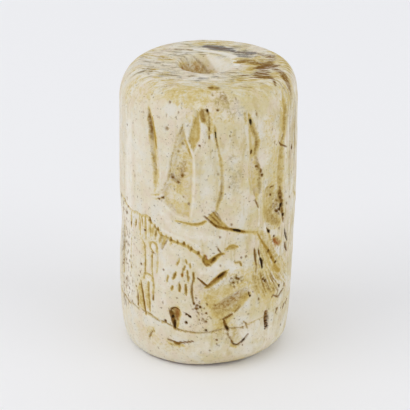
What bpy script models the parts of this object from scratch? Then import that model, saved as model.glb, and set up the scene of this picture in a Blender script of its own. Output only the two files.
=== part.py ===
"""Ancient cylinder seal: a short cylinder of pale shell, drilled from end to end.

The wall carries an engraved frieze of struggling animals, cut with a graver, a small wheel and a
drill. The seal stands on its foot end, which is a flat ring round the bore. Lengths are in metres
with +Z up. The middle of the front faces -Y, and the origin is at the middle of the foot end.
"""

import math

import bmesh
import bpy
from mathutils import Matrix, Vector

MM = 0.001

# Driving dimensions
DIAMETER = 19.0 * MM
HEIGHT = 32.0 * MM
BORE_DIAMETER = 3.0 * MM
BORE_ASIDE = -1.1 * MM
MOUTH_DIAMETER = 6.2 * MM
MOUTH_ASIDE = -0.45 * MM
MOUTH_DEPTH = 2.4 * MM

RADIUS = DIAMETER / 2

# Worn corners: how far each one eats into the end (run) and down the wall (rise)
HEAD_RUN = 2.2 * MM
HEAD_RISE = 3.7 * MM
FOOT_RUN = 2.35 * MM
FOOT_RISE = 4.7 * MM

# The head end is worn a little more on the left and the foot end more on the right
HEAD_LEAN = 0.4 * MM
FOOT_LEAN = -1.4 * MM
FOOT_SLANT = -3.0 * MM

# Soft hollows worn in the sides of the wall, and one swelling, whose depth is negative:
# degrees round from the front, height, depth, spread up and down
HOLLOWS = (
    (-90.0, 13.0 * MM, 0.20 * MM, 3.2 * MM),
    (90.0, 3.0 * MM, 0.50 * MM, 3.2 * MM),
    (90.0, 18.0 * MM, -0.10 * MM, 3.2 * MM),
    (90.0, 28.0 * MM, 0.18 * MM, 3.2 * MM),
)
HOLLOW_FOCUS = 4

# The line that frames the frieze at its foot, and the wide dip it makes at the front
BORDER_HEIGHT = 6.35 * MM
BORDER_DIP = 1.35 * MM
BORDER_SPREAD = 4.5 * MM

# Tools that cut the frieze: the width and the depth of the cut that each one leaves
FINE_GRAVER = (0.34 * MM, 0.18 * MM)
GRAVER = (0.45 * MM, 0.26 * MM)
NARROW_WHEEL = (0.65 * MM, 0.38 * MM)
BROAD_WHEEL = (0.95 * MM, 0.42 * MM)
SCRAPER = (1.60 * MM, 0.42 * MM)

# A cut's width at its two ends as a share of its width in the middle
POINTED = 0.45
BLUNT = 0.65

# A hollow is cut by an egg this many times as thick as the hollow is deep
EGG_THICKNESS = 2.0

# Middles of the plainer animals on the hidden side, in millimetres round the girth from the front
REAR_BEASTS_ACROSS = (17.6, 28.9, -18.2)

# Fineness of the faceted solid
GIRTH_STEPS = 64
CORNER_STEPS = 6
WALL_STEPS = 12
BORE_STEPS = 24
BORDER_STEPS = 44
EGG_SEGMENTS = 16
EGG_RINGS = 8
CUTTER_SAMPLE = 1.1 * MM
CUTTER_RESOLUTION = 1
SETTLING_ROUNDS = 12
OVERSHOOT = 2.0 * MM
MERGE_DISTANCE = 0.01 * MM
WELD_DISTANCE = 0.001 * MM
CREASE_ANGLE = math.radians(35.0)

SHELL_COLOUR = (0.78, 0.72, 0.60, 1.0)
SHELL_ROUGHNESS = 0.5


def clear_scene():
    """Remove every object and collection that the scene starts with."""
    for item in list(bpy.data.objects):
        bpy.data.objects.remove(item, do_unlink=True)
    for item in list(bpy.data.collections):
        bpy.data.collections.remove(item)


def new_collection(name):
    collection = bpy.data.collections.new(name)
    bpy.context.scene.collection.children.link(collection)
    return collection


def shell_material():
    """Polished shell, a warm off-white that is neither matt nor glossy."""
    material = bpy.data.materials.new("worn_shell")
    material.use_nodes = True
    shader = material.node_tree.nodes["Principled BSDF"]
    shader.inputs["Base Color"].default_value = SHELL_COLOUR
    shader.inputs["Roughness"].default_value = SHELL_ROUGHNESS
    shader.inputs["Metallic"].default_value = 0.0
    return material


def corner_fall(up):
    """How much of the corner's run is used up at a height: 0 on the wall, 1 on the flat end."""
    head = max(0.0, up - (HEIGHT - HEAD_RISE)) / HEAD_RISE
    foot = max(0.0, FOOT_RISE - up) / FOOT_RISE
    head_fall = 1.0 - math.sqrt(max(0.0, 1.0 - head * head))
    foot_fall = 1.0 - math.sqrt(max(0.0, 1.0 - foot * foot))
    return head_fall, foot_fall


def worn_position(point):
    """Move a point of the even, turned body to where wear and handling have left it."""
    x, y, z = point
    out = min(1.0, math.hypot(x, y) / RADIUS)
    head_fall, foot_fall = corner_fall(z)
    tent = min(z / FOOT_RISE, max(0.0, 1.0 - (z - FOOT_RISE) / (HEIGHT / 2)))
    moved = Vector((x, y, z))
    moved.x += out * (HEAD_LEAN * head_fall + FOOT_LEAN * foot_fall)
    moved.z += FOOT_SLANT * (x / RADIUS) * tent
    for degrees, height, depth, spread in HOLLOWS:
        middle = Vector((math.sin(math.radians(degrees)), -math.cos(math.radians(degrees)), 0.0))
        facing = max(0.0, (middle.x * x + middle.y * y) / RADIUS) ** HOLLOW_FOCUS
        moved -= middle * (depth * facing * math.exp(-(((z - height) / spread) ** 2)))
    return moved


def wall_point(across, up, lift):
    """A point on the worn wall: across round the girth from the front, up from the foot."""
    angle = across / RADIUS
    facing = Vector((math.sin(angle), -math.cos(angle), 0.0))
    level = up
    for _ in range(SETTLING_ROUNDS):
        head_fall, foot_fall = corner_fall(level)
        unworn = facing * (RADIUS - HEAD_RUN * head_fall - FOOT_RUN * foot_fall)
        unworn.z = level
        seat = worn_position(unworn)
        level = min(HEIGHT, max(0.0, level + up - seat.z))
    return seat + facing * lift


def body_profile():
    """The turned outline at +X, from the middle of the head down the wall to the middle of the foot."""
    outline = [(0.0, HEIGHT)]
    for step in range(CORNER_STEPS + 1):
        turn = math.radians(90.0) * step / CORNER_STEPS
        radius = RADIUS - HEAD_RUN + HEAD_RUN * math.sin(turn)
        outline.append((radius, HEIGHT - HEAD_RISE + HEAD_RISE * math.cos(turn)))
    wall = HEIGHT - HEAD_RISE - FOOT_RISE
    for step in range(1, WALL_STEPS):
        outline.append((RADIUS, HEIGHT - HEAD_RISE - wall * step / WALL_STEPS))
    for step in range(CORNER_STEPS + 1):
        turn = math.radians(90.0) * step / CORNER_STEPS
        radius = RADIUS - FOOT_RUN + FOOT_RUN * math.cos(turn)
        outline.append((radius, FOOT_RISE - FOOT_RISE * math.sin(turn)))
    outline.append((0.0, 0.0))
    return outline


def turned_body():
    """The seal before it is drilled and engraved: the outline swept once round, then worn."""
    outline = body_profile()
    mesh = bpy.data.meshes.new("seal_outline")
    points = [(radius, 0.0, up) for radius, up in outline]
    mesh.from_pydata(points, [(i, i + 1) for i in range(len(points) - 1)], [])
    blank = bpy.data.objects.new("seal_blank", mesh)
    parts.objects.link(blank)
    screw = blank.modifiers.new("turning", "SCREW")
    screw.steps = GIRTH_STEPS
    screw.render_steps = GIRTH_STEPS
    screw.use_merge_vertices = True
    screw.merge_threshold = MERGE_DISTANCE
    body = baked_copy(blank, "seal", parts)
    for vertex in body.data.vertices:
        vertex.co = worn_position(vertex.co)
    return body


def baked_copy(source, name, collection):
    """The evaluated shape of an object as a new mesh object. The source object is removed."""
    bpy.context.view_layer.update()
    evaluated = source.evaluated_get(bpy.context.evaluated_depsgraph_get())
    mesh = bpy.data.meshes.new_from_object(evaluated)
    mesh.name = name
    copy = bpy.data.objects.new(name, mesh)
    copy.matrix_world = source.matrix_world.copy()
    collection.objects.link(copy)
    bpy.data.objects.remove(source, do_unlink=True)
    weld = bmesh.new()
    weld.from_mesh(mesh)
    bmesh.ops.remove_doubles(weld, verts=weld.verts, dist=WELD_DISTANCE)
    bmesh.ops.recalc_face_normals(weld, faces=weld.faces)
    weld.to_mesh(mesh)
    weld.free()
    return copy


def keep_as_cutter(item):
    """File a tool shape with the cutters, out of sight in a render."""
    for collection in list(item.users_collection):
        collection.objects.unlink(item)
    cutters.objects.link(item)
    item.hide_render = True
    item.display_type = "WIRE"
    return item


def smooth_path(points, spacing):
    """Samples along a smooth curve that passes through every given point."""
    knots = [Vector(point) for point in points]
    knots = [knots[0] * 2 - knots[1], *knots, knots[-1] * 2 - knots[-2]]
    path = []
    for k in range(1, len(knots) - 2):
        before, start, end, after = knots[k - 1 : k + 3]
        pieces = max(1, round((end - start).length / spacing))
        for step in range(pieces):
            t = step / pieces
            line = (end - before) * t
            square = (before * 2 - start * 5 + end * 4 - after) * t**2
            cube = (start * 3 - before - end * 3 + after) * t**3
            path.append((start * 2 + line + square + cube) / 2)
    path.append(knots[-2])
    return path


def cut_along(name, path, width, depth, swells, closed=False):
    """A tool shape of round section that leaves a cut of this width and depth along the wall."""
    radius = (width * width / 4 + depth * depth) / (2 * depth)
    sides = 4 + 2 * CUTTER_RESOLUTION
    curve = bpy.data.curves.new(name, "CURVE")
    curve.dimensions = "3D"
    curve.bevel_depth = radius / math.cos(math.pi / sides)
    curve.bevel_resolution = CUTTER_RESOLUTION
    curve.use_fill_caps = not closed
    line = curve.splines.new("POLY")
    line.use_cyclic_u = closed
    line.points.add(len(path) - 1)
    for point, spot, swell in zip(line.points, path, swells):
        seat = wall_point(spot.x, spot.y, (radius - depth) * swell)
        point.co = (*seat, 1.0)
        point.radius = swell
    tube = bpy.data.objects.new(name + "_path", curve)
    cutters.objects.link(tube)
    return keep_as_cutter(baked_copy(tube, name, cutters))


def stroke(name, points, tool, tip=POINTED):
    """One cut of a tool through points in millimetres, finer at both ends."""
    path = smooth_path([(x * MM, z * MM) for x, z in points], CUTTER_SAMPLE)
    last = len(path) - 1
    swells = [tip + (1.0 - tip) * math.sqrt(4.0 * k * (last - k)) / last for k in range(last + 1)]
    return cut_along(name, path, *tool, swells)


def hollow(name, across, up, length, width, depth, lean=0.0):
    """An egg-shaped hollow in the wall, all in millimetres, leaning by an angle in degrees."""
    bpy.ops.mesh.primitive_uv_sphere_add(segments=EGG_SEGMENTS, ring_count=EGG_RINGS, radius=1.0)
    item = bpy.context.object
    item.name = name
    item.data.name = name
    thick = depth * EGG_THICKNESS * MM
    seat = wall_point(across * MM, up * MM, thick - depth * MM)
    turn = Matrix.Rotation(across * MM / RADIUS, 4, "Z")
    tilt = Matrix.Rotation(math.radians(lean), 4, "Y")
    size = Matrix.Diagonal((width * MM / 2, thick, length * MM / 2, 1.0))
    item.data.transform(Matrix.Translation(seat) @ turn @ tilt @ size)
    return keep_as_cutter(item)


def drill_pit(name, across, up, diameter, depth):
    """A pit left by a round-nosed drill pushed straight into the wall."""
    return hollow(name, across, up, diameter, diameter, depth)


def bore_cutters():
    """The bore through the whole length, and the wider mouths that stringing has worn at its ends."""
    bpy.ops.mesh.primitive_cylinder_add(
        vertices=BORE_STEPS,
        radius=BORE_DIAMETER / 2,
        depth=HEIGHT + 2 * OVERSHOOT,
        location=(BORE_ASIDE, 0.0, HEIGHT / 2),
    )
    bore = bpy.context.object
    bore.name = "bore"
    keep_as_cutter(bore)
    for name, end, way in (("head_mouth", HEIGHT, 1.0), ("foot_mouth", 0.0, -1.0)):
        slope = (MOUTH_DIAMETER - BORE_DIAMETER) / 2 / MOUTH_DEPTH
        drift = (MOUTH_ASIDE - BORE_ASIDE) / MOUTH_DEPTH
        tall = MOUTH_DEPTH + OVERSHOOT
        bpy.ops.mesh.primitive_cone_add(
            vertices=BORE_STEPS,
            radius1=BORE_DIAMETER / 2,
            radius2=BORE_DIAMETER / 2 + slope * tall,
            depth=tall,
        )
        mouth = bpy.context.object
        mouth.name = name
        shear = Matrix.Identity(4)
        shear[0][2] = drift
        stand = Matrix.Translation((0.0, 0.0, tall / 2))
        face = Matrix.Identity(4) if way > 0 else Matrix.Rotation(math.pi, 4, "X")
        seat = Matrix.Translation((BORE_ASIDE, 0.0, end - way * MOUTH_DEPTH))
        mouth.data.transform(seat @ face @ shear @ stand)
        keep_as_cutter(mouth)


def border_line():
    """The single line that frames the frieze below, dipping at the front on its way round."""
    path = []
    for step in range(BORDER_STEPS):
        across = (step / BORDER_STEPS - 0.5) * math.tau * RADIUS
        dip = BORDER_DIP * math.exp(-((across / BORDER_SPREAD) ** 2))
        path.append(Vector((across, BORDER_HEIGHT - dip)))
    cut_along("border_line", path, *FINE_GRAVER, [1.0] * BORDER_STEPS, closed=True)


def front_beasts():
    """The two animals of the front: sunk bodies between long tapering limbs."""
    stroke("left_limb", [(-6.8, 29.8), (-6.4, 27.8), (-6.0, 25.2), (-5.8, 22.8), (-5.8, 20.7)], BROAD_WHEEL)
    hollow("left_body", -3.0, 23.0, length=11.4, width=3.0, depth=0.40, lean=11.0)
    stroke("left_back", [(-2.6, 28.8), (-3.4, 26.6), (-3.9, 24.6), (-4.4, 22.2), (-5.3, 20.6)], FINE_GRAVER)
    stroke("left_belly", [(-3.4, 17.9), (-1.5, 17.7), (-0.1, 18.2)], FINE_GRAVER)
    stroke("lozenge", [(-1.1, 30.0), (-1.5, 28.2), (-1.6, 25.8)], BROAD_WHEEL)
    stroke("haunch_line", [(0.6, 28.9), (1.0, 26.2), (1.5, 23.6), (1.5, 21.4), (0.9, 19.3)], GRAVER)
    right = [(4.2, 29.9), (4.9, 27.7), (5.3, 26.3), (5.2, 25.0), (5.7, 22.8), (5.3, 19.7)]
    stroke("right_limb", right, BROAD_WHEEL)
    far = [(9.3, 30.9), (9.3, 28.0), (9.0, 25.4), (8.8, 22.5), (9.0, 19.5), (9.7, 16.4)]
    stroke("far_limb", far, BROAD_WHEEL)
    hollow("far_body", 7.5, 18.5, length=6.4, width=3.2, depth=0.42, lean=6.0)
    stroke("shoulder", [(5.8, 16.6), (7.4, 13.8), (9.6, 10.2)], SCRAPER)
    stroke("shoulder_edge", [(5.2, 14.6), (5.4, 13.2), (5.6, 12.0), (5.5, 10.0)], GRAVER)
    stroke("shoulder_pit", [(6.0, 13.3), (6.4, 12.0)], GRAVER, BLUNT)


def front_paw():
    """A clawed foot: short slanting cuts that run together into the line of the leg."""
    for claw in range(4):
        across = -0.2 + 0.33 * claw
        up = 18.75 + 0.22 * claw
        stroke(f"claw_{claw}", [(across, up), (across + 1.1, up - 1.15)], FINE_GRAVER, BLUNT)
    stroke("leg_line", [(1.0, 17.6), (2.3, 17.2), (4.1, 16.6), (5.7, 16.3)], GRAVER)


def front_mane():
    """The lion's mane: a scalloped edge, locks that hang from it, and rows of short loose locks."""
    edge = [(-12.4, 17.9), (-9.3, 17.2), (-7.0, 17.6), (-5.3, 16.2), (-3.7, 15.6), (-2.3, 15.2), (-1.0, 14.5)]
    stroke("mane_edge", [*edge, (-0.3, 13.6)], GRAVER)
    for k in range(5):
        across = -8.6 + 0.8 * k
        stroke(f"long_lock_{k}", [(across, 16.9 - 0.1 * k), (across - 0.1, 15.1)], FINE_GRAVER)
    loose = ((-3.0, 13.1), (-2.35, 12.5), (-2.1, 13.3), (-1.9, 11.7), (-1.2, 11.6))
    lower = ((-4.15, 11.0), (-3.6, 10.0), (-3.35, 11.5), (-2.8, 10.2), (-2.1, 10.1))
    for k, (across, up) in enumerate(loose + lower):
        stroke(f"short_lock_{k}", [(across + 0.1, up + 0.45), (across - 0.1, up - 0.45)], FINE_GRAVER, BLUNT)


def front_jaws():
    """The open jaws: two broad V cuts, one under the other, and the hollow of the cheek."""
    stroke("upper_jaw", [(-0.2, 14.3), (-0.1, 13.6), (0.4, 13.5), (1.0, 14.0), (1.9, 14.5)], NARROW_WHEEL)
    stroke("upper_lip", [(2.1, 15.1), (2.7, 15.2), (3.3, 15.1)], GRAVER)
    stroke("lower_jaw_back", [(-0.9, 11.6), (-0.3, 11.1), (0.2, 10.6)], GRAVER)
    stroke("lower_jaw", [(0.0, 10.5), (1.0, 11.4), (2.5, 12.6)], NARROW_WHEEL)
    hollow("cheek", 2.9, 8.6, length=4.8, width=2.8, depth=0.30, lean=62.0)
    stroke("chin", [(2.0, 6.6), (2.9, 7.1), (3.9, 8.0)], FINE_GRAVER)


def front_legs():
    """The thin standing legs at the left, with a drilled joint on each."""
    drill_pit("knee_upper", -5.95, 14.2, diameter=1.1, depth=0.22)
    drill_pit("knee_lower", -6.6, 10.3, diameter=1.2, depth=0.22)
    shins = (
        [(-7.5, 14.5), (-7.2, 13.4), (-7.1, 11.6), (-7.3, 10.1)],
        [(-6.1, 13.4), (-6.2, 12.2), (-6.0, 10.6)],
        [(-5.9, 10.4), (-5.9, 9.2), (-5.9, 7.8)],
        [(-7.7, 9.6), (-7.5, 8.2), (-7.0, 5.9)],
        [(-8.2, 8.2), (-8.0, 6.4)],
        [(-6.6, 9.9), (-6.6, 8.2), (-6.4, 6.4)],
    )
    for k, shin in enumerate(shins):
        stroke(f"shin_{k}", shin, GRAVER, BLUNT)


def front_hooves():
    """Drilled and wheel-cut marks along the border line, and two small cuts below it."""
    drill_pit("hoof_drill", -3.2, 7.1, diameter=1.3, depth=0.50)
    stroke("hoof_tail", [(-3.25, 6.8), (-3.25, 6.0), (-3.25, 5.1)], NARROW_WHEEL)
    stroke("hoof_slot", [(7.15, 6.4), (7.25, 5.5), (7.4, 4.5)], NARROW_WHEEL, BLUNT)
    stroke("hoof_loop", [(2.0, 6.6), (2.5, 5.2), (2.9, 4.0), (3.5, 3.4), (4.2, 3.7), (4.9, 4.4)], GRAVER)
    stroke("low_line", [(-4.0, 3.6), (-2.6, 3.5), (-1.3, 3.9)], FINE_GRAVER)
    stroke("low_tick", [(-6.6, 2.9), (-6.4, 3.6), (-5.8, 4.2)], FINE_GRAVER)


def rear_beast(name, across, way):
    """One plainer rearing animal of the hidden side. Way is 1 or -1 for the side it faces."""
    def at(*points):
        return [(across + way * x, z) for x, z in points]

    hollow(f"{name}_body", across, 20.0, length=11.0, width=3.2, depth=0.34, lean=way * 4.0)
    hollow(f"{name}_chest", across - way * 0.9, 12.6, length=5.2, width=3.2, depth=0.30, lean=way * 15.0)
    stroke(f"{name}_hind_leg", at((0.5, 29.4), (0.9, 27.2), (0.6, 24.8)), BROAD_WHEEL)
    stroke(f"{name}_back_leg", at((2.8, 29.6), (2.4, 26.5), (2.5, 22.3)), BROAD_WHEEL)
    stroke(f"{name}_fore_leg", at((0.6, 14.4), (2.6, 15.3), (4.0, 17.2)), GRAVER)
    stroke(f"{name}_low_leg", at((0.4, 11.8), (2.2, 11.0), (3.2, 8.4)), GRAVER)
    stroke(f"{name}_muzzle", at((-1.6, 10.4), (-1.2, 8.6), (-2.2, 7.3)), NARROW_WHEEL)
    drill_pit(f"{name}_eye", across - way * 0.6, 9.4, diameter=0.8, depth=0.28)


def rear_beasts():
    """The hidden side: three rearing animals, evenly spaced round the girth."""
    for number, across in enumerate(REAR_BEASTS_ACROSS):
        rear_beast(f"rear_{number}", across, 1.0 if number % 2 else -1.0)


def engraved(body):
    """Cut every bore and engraved shape out of the worn body."""
    cut = body.modifiers.new("drilling_and_engraving", "BOOLEAN")
    cut.operation = "DIFFERENCE"
    cut.operand_type = "COLLECTION"
    cut.solver = "EXACT"
    cut.collection = cutters


clear_scene()
parts = new_collection("cylinder_seal")
cutters = new_collection("cutters")
seal = turned_body()
bore_cutters()
border_line()
front_beasts()
front_paw()
front_mane()
front_jaws()
front_legs()
front_hooves()
rear_beasts()
engraved(seal)
seal.data.materials.clear()
seal.data.materials.append(shell_material())
seal.data.shade_smooth()
seal.data.set_sharp_from_angle(angle=CREASE_ANGLE)
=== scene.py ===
"""Looks of an ancient cylinder seal: worn shell, engraved all round, with dirt in the cuts.

Lengths in this file are millimetres until a mesh, a light or the camera is made. The wall is
described by two numbers: across, round the girth from the middle of the front, positive to the
right, and up, from the foot end.
"""
import math
import random

import bpy
import numpy as np
from mathutils import Matrix, Vector, noise


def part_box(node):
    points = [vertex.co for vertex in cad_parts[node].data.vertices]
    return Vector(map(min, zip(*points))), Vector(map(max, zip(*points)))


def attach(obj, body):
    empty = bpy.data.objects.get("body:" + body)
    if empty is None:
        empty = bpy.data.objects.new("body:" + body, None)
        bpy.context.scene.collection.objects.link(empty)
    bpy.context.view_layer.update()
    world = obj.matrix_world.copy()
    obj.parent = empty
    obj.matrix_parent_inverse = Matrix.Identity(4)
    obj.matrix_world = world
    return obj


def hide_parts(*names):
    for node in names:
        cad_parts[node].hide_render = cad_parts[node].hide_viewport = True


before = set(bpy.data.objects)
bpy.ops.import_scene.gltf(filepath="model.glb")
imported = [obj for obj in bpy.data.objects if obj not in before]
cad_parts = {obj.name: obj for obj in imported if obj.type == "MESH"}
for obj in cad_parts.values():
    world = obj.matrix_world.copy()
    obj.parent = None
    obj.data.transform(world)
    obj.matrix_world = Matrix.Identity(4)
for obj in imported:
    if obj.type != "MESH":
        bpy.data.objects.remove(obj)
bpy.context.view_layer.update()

MM = 0.001
LOW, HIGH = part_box("seal")
RADIUS = (HIGH[1] - LOW[1]) / 2 / MM
HEIGHT = (HIGH[2] - LOW[2]) / MM
GIRTH = math.tau * RADIUS
QUARTER = math.radians(90.0)

# The bore and the mouths that stringing has worn at its ends, set a little left of the middle
BORE = 1.5
BORE_ASIDE = -1.1
BORE_WAIST = 0.12
MOUTH = 3.1
MOUTH_ASIDE = -0.45
MOUTH_DEPTH = 2.4
MOUTH_FLARE, MOUTH_FALL = 0.85, 1.35

# Worn corners: how far each one eats into the end (run) and down the wall (rise)
HEAD_RUN, HEAD_RISE = 2.2, 3.7
FOOT_RUN, FOOT_RISE = 2.35, 4.7
HEAD_LEAN, FOOT_LEAN, FOOT_SLANT = 0.4, -1.4, -3.0

# Hollows worn in the flanks: which way they face in degrees, height, depth and spread
HOLLOWS = (
    (-90.0, 13.0, 0.2, 3.2), (90.0, 3.0, 0.5, 3.2), (90.0, 18.0, -0.1, 3.2), (90.0, 28.0, 0.18, 3.2),
)

# Spacing of the mesh: fine where the best carving is, wider on the plainer hidden side
FRONT_HALF = 13.5
FRONT_STEP = 0.132
REAR_STEP = 0.27
WALL_STEP = 0.128

# Rings of the mesh in each stretch of the profile, from the head over the wall and up the bore
HEAD_RINGS = 16
HEAD_CORNER_RINGS = 24
FOOT_CORNER_RINGS = 36
FOOT_CROWDING = 1.25
FOOT_RINGS = 7
FOOT_MOUTH_RINGS = 8
BORE_RINGS = 12
HEAD_MOUTH_RINGS = 12

# Gentle unevenness left by grinding and wear: how broad the bumps are, and how high. It leaves the
# bore smoother, and the rim and the level face that the seal stands on as they are.
GRINDING = ((4.0, 0.05), (1.3, 0.018))
BORE_UNEVENNESS = 0.3
STANDING_RIM = 0.02
LEVEL = 0.999

# Where the dirt of the head and of its mouth stops: the fade over the worn corner, and the mouth's own
# wall, dirty at the back and less so towards the right, where the lit flank is left pale as a painted
# highlight
HEAD_FADE = 0.8
MOUTH_LIP = 0.02
MOUTH_FADE, MOUTH_FRONT, MOUTH_CLEAN = 1.2, 0.6, 1.2

# A cut counts as hollow where it lies this far below its blurred surroundings
# Hollows darken the shell as dust and painted shade; what stands above its surroundings is lightened as
# wear and a painted highlight
HOLLOW_RUBS = 10
HOLLOW_DEPTH = 0.1

# Steps along a stroke, how far its dirt stays full beside it, and the smallest width reckoned with
STROKE_STEP = 0.2
DIRT_EDGE = 1.3
LEAST = 0.01
FAR = 1e9


# ---------------------------------------------------------------- the worn body


def ease(value):
    """A smooth step from 0 to 1."""
    value = np.clip(value, 0.0, 1.0)
    return value * value * (3.0 - 2.0 * value)


def girth_angles():
    """Angles of the mesh's columns, closer together across the front."""
    front = np.linspace(-FRONT_HALF, FRONT_HALF, round(2 * FRONT_HALF / FRONT_STEP) + 1)
    gap = GIRTH - 2 * FRONT_HALF
    steps = round(gap / REAR_STEP)
    rear = FRONT_HALF + gap * np.arange(1, steps) / steps
    return np.concatenate([front, rear]) / RADIUS


def worn(x, y, z):
    """Move points of the even, turned body to where wear has left them."""
    out = np.minimum(1.0, np.hypot(x, y) / RADIUS)
    head = np.clip(z - (HEIGHT - HEAD_RISE), 0.0, None) / HEAD_RISE
    foot = np.clip(FOOT_RISE - z, 0.0, None) / FOOT_RISE
    head_fall = 1.0 - np.sqrt(np.clip(1.0 - head * head, 0.0, 1.0))
    foot_fall = 1.0 - np.sqrt(np.clip(1.0 - foot * foot, 0.0, 1.0))
    tent = np.minimum(z / FOOT_RISE, np.clip(1.0 - (z - FOOT_RISE) / (HEIGHT / 2), 0.0, None))
    new_x = x + out * (HEAD_LEAN * head_fall + FOOT_LEAN * foot_fall)
    new_y = y.copy()
    new_z = z + FOOT_SLANT * (x / RADIUS) * tent
    for degrees, height, depth, spread in HOLLOWS:
        side, front = math.sin(math.radians(degrees)), -math.cos(math.radians(degrees))
        facing = np.clip((side * x + front * y) / RADIUS, 0.0, None) ** 4
        dent = depth * facing * np.exp(-(((z - height) / spread) ** 2))
        new_x = new_x - side * dent
        new_y = new_y - front * dent
    return new_x, new_y, new_z


def ring(radius, aside, height, angles):
    """A level circle of points: its radius, how far its middle lies aside, and its height."""
    return aside + radius * np.sin(angles), -radius * np.cos(angles), np.full_like(angles, height)


def between(first, second, share):
    """Points that lie this share of the way from one ring to another."""
    return tuple(a + (b - a) * share for a, b in zip(first, second))


def mouth_ring(end, way, share, angles):
    """One ring of a worn mouth. Share runs from 0 at the rim to 1 where the bore starts."""
    inward = share ** MOUTH_FLARE
    radius = MOUTH + (BORE - MOUTH) * inward
    aside = MOUTH_ASIDE + (BORE_ASIDE - MOUTH_ASIDE) * inward
    return ring(radius, aside, end + way * MOUTH_DEPTH * share ** MOUTH_FALL, angles)


def body_rings(angles):
    """Every ring of the body, from the head's mouth over the wall to the foot and back up the bore."""
    def wall_ring(radius, height):
        return "wall", worn(*ring(radius, 0.0, height, angles))

    head_rim = ring(MOUTH, MOUTH_ASIDE, HEIGHT, angles)
    foot_rim = ring(MOUTH, MOUTH_ASIDE, 0.0, angles)
    head_edge = wall_ring(RADIUS - HEAD_RUN, HEIGHT)[1]
    foot_edge = wall_ring(RADIUS - FOOT_RUN, 0.0)[1]
    tall = HEIGHT - HEAD_RISE - FOOT_RISE
    wall_rings = round(tall / WALL_STEP)
    deep = HEIGHT - 2 * MOUTH_DEPTH
    rings = []
    for k in range(HEAD_RINGS):
        rings.append(("head", between(head_rim, head_edge, k / HEAD_RINGS)))
    for k in range(HEAD_CORNER_RINGS):
        turn = QUARTER * k / HEAD_CORNER_RINGS
        rings.append(wall_ring(RADIUS - HEAD_RUN + HEAD_RUN * math.sin(turn),
                               HEIGHT - HEAD_RISE + HEAD_RISE * math.cos(turn)))
    for k in range(wall_rings):
        rings.append(wall_ring(RADIUS, HEIGHT - HEAD_RISE - tall * k / wall_rings))
    for k in range(FOOT_CORNER_RINGS + 1):
        turn = QUARTER * (k / FOOT_CORNER_RINGS) ** FOOT_CROWDING
        rings.append(wall_ring(RADIUS - FOOT_RUN + FOOT_RUN * math.cos(turn),
                               FOOT_RISE - FOOT_RISE * math.sin(turn)))
    for k in range(1, FOOT_RINGS + 1):
        rings.append(("foot", between(foot_edge, foot_rim, k / FOOT_RINGS)))
    for k in range(1, FOOT_MOUTH_RINGS):
        rings.append(("foot", mouth_ring(0.0, 1.0, k / FOOT_MOUTH_RINGS, angles)))
    for k in range(BORE_RINGS + 1):
        waist = BORE_WAIST * math.cos(math.pi * (k / BORE_RINGS - 0.5)) ** 2
        rings.append(("bore", ring(BORE - waist, BORE_ASIDE, MOUTH_DEPTH + deep * k / BORE_RINGS, angles)))
    for k in range(1, HEAD_MOUTH_RINGS):
        rings.append(("head", mouth_ring(HEIGHT, -1.0, 1.0 - k / HEAD_MOUTH_RINGS, angles)))
    return np.array([name for name, _ in rings]), [np.stack(axis) for axis in zip(*[r for _, r in rings])]


def outward(x, y, z):
    """Unit vectors that point out of the body at every mesh point."""
    def step(values, axis):
        return np.roll(values, -1, axis) - np.roll(values, 1, axis)

    along = np.stack([step(v, 1) for v in (x, y, z)], -1)
    down = np.stack([step(v, 0) for v in (x, y, z)], -1)
    out = np.cross(down, along)
    return out / np.linalg.norm(out, axis=-1, keepdims=True)


# ---------------------------------------------------------------- tools that engrave and soil


def smooth_path(points):
    """Samples along a smooth curve through points of (across, up, width)."""
    knots = np.array(points, float)
    knots = np.vstack([2 * knots[0] - knots[1], knots, 2 * knots[-1] - knots[-2]])
    path = []
    for before, start, end, after in zip(knots[:-3], knots[1:-2], knots[2:-1], knots[3:]):
        pieces = max(1, math.ceil(np.hypot(*(end - start)[:2]) / STROKE_STEP))
        for t in np.arange(pieces) / pieces:
            line = (end - before) * t
            square = (2 * before - 5 * start + 4 * end - after) * t**2
            cube = (3 * start - before - 3 * end + after) * t**3
            path.append((2 * start + line + square + cube) / 2)
    path.append(knots[-2])
    return np.array(path)


def share_along(x, z, start, end):
    """How far along a straight line points lie, and their distance from it."""
    (x0, z0), (run, rise) = start, (end[0] - start[0], end[1] - start[1])
    share = np.clip(((x - x0) * run + (z - z0) * rise) / (run**2 + rise**2), 0.0, 1.0)
    return share, np.hypot(x - x0 - share * run, z - z0 - share * rise)


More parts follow.
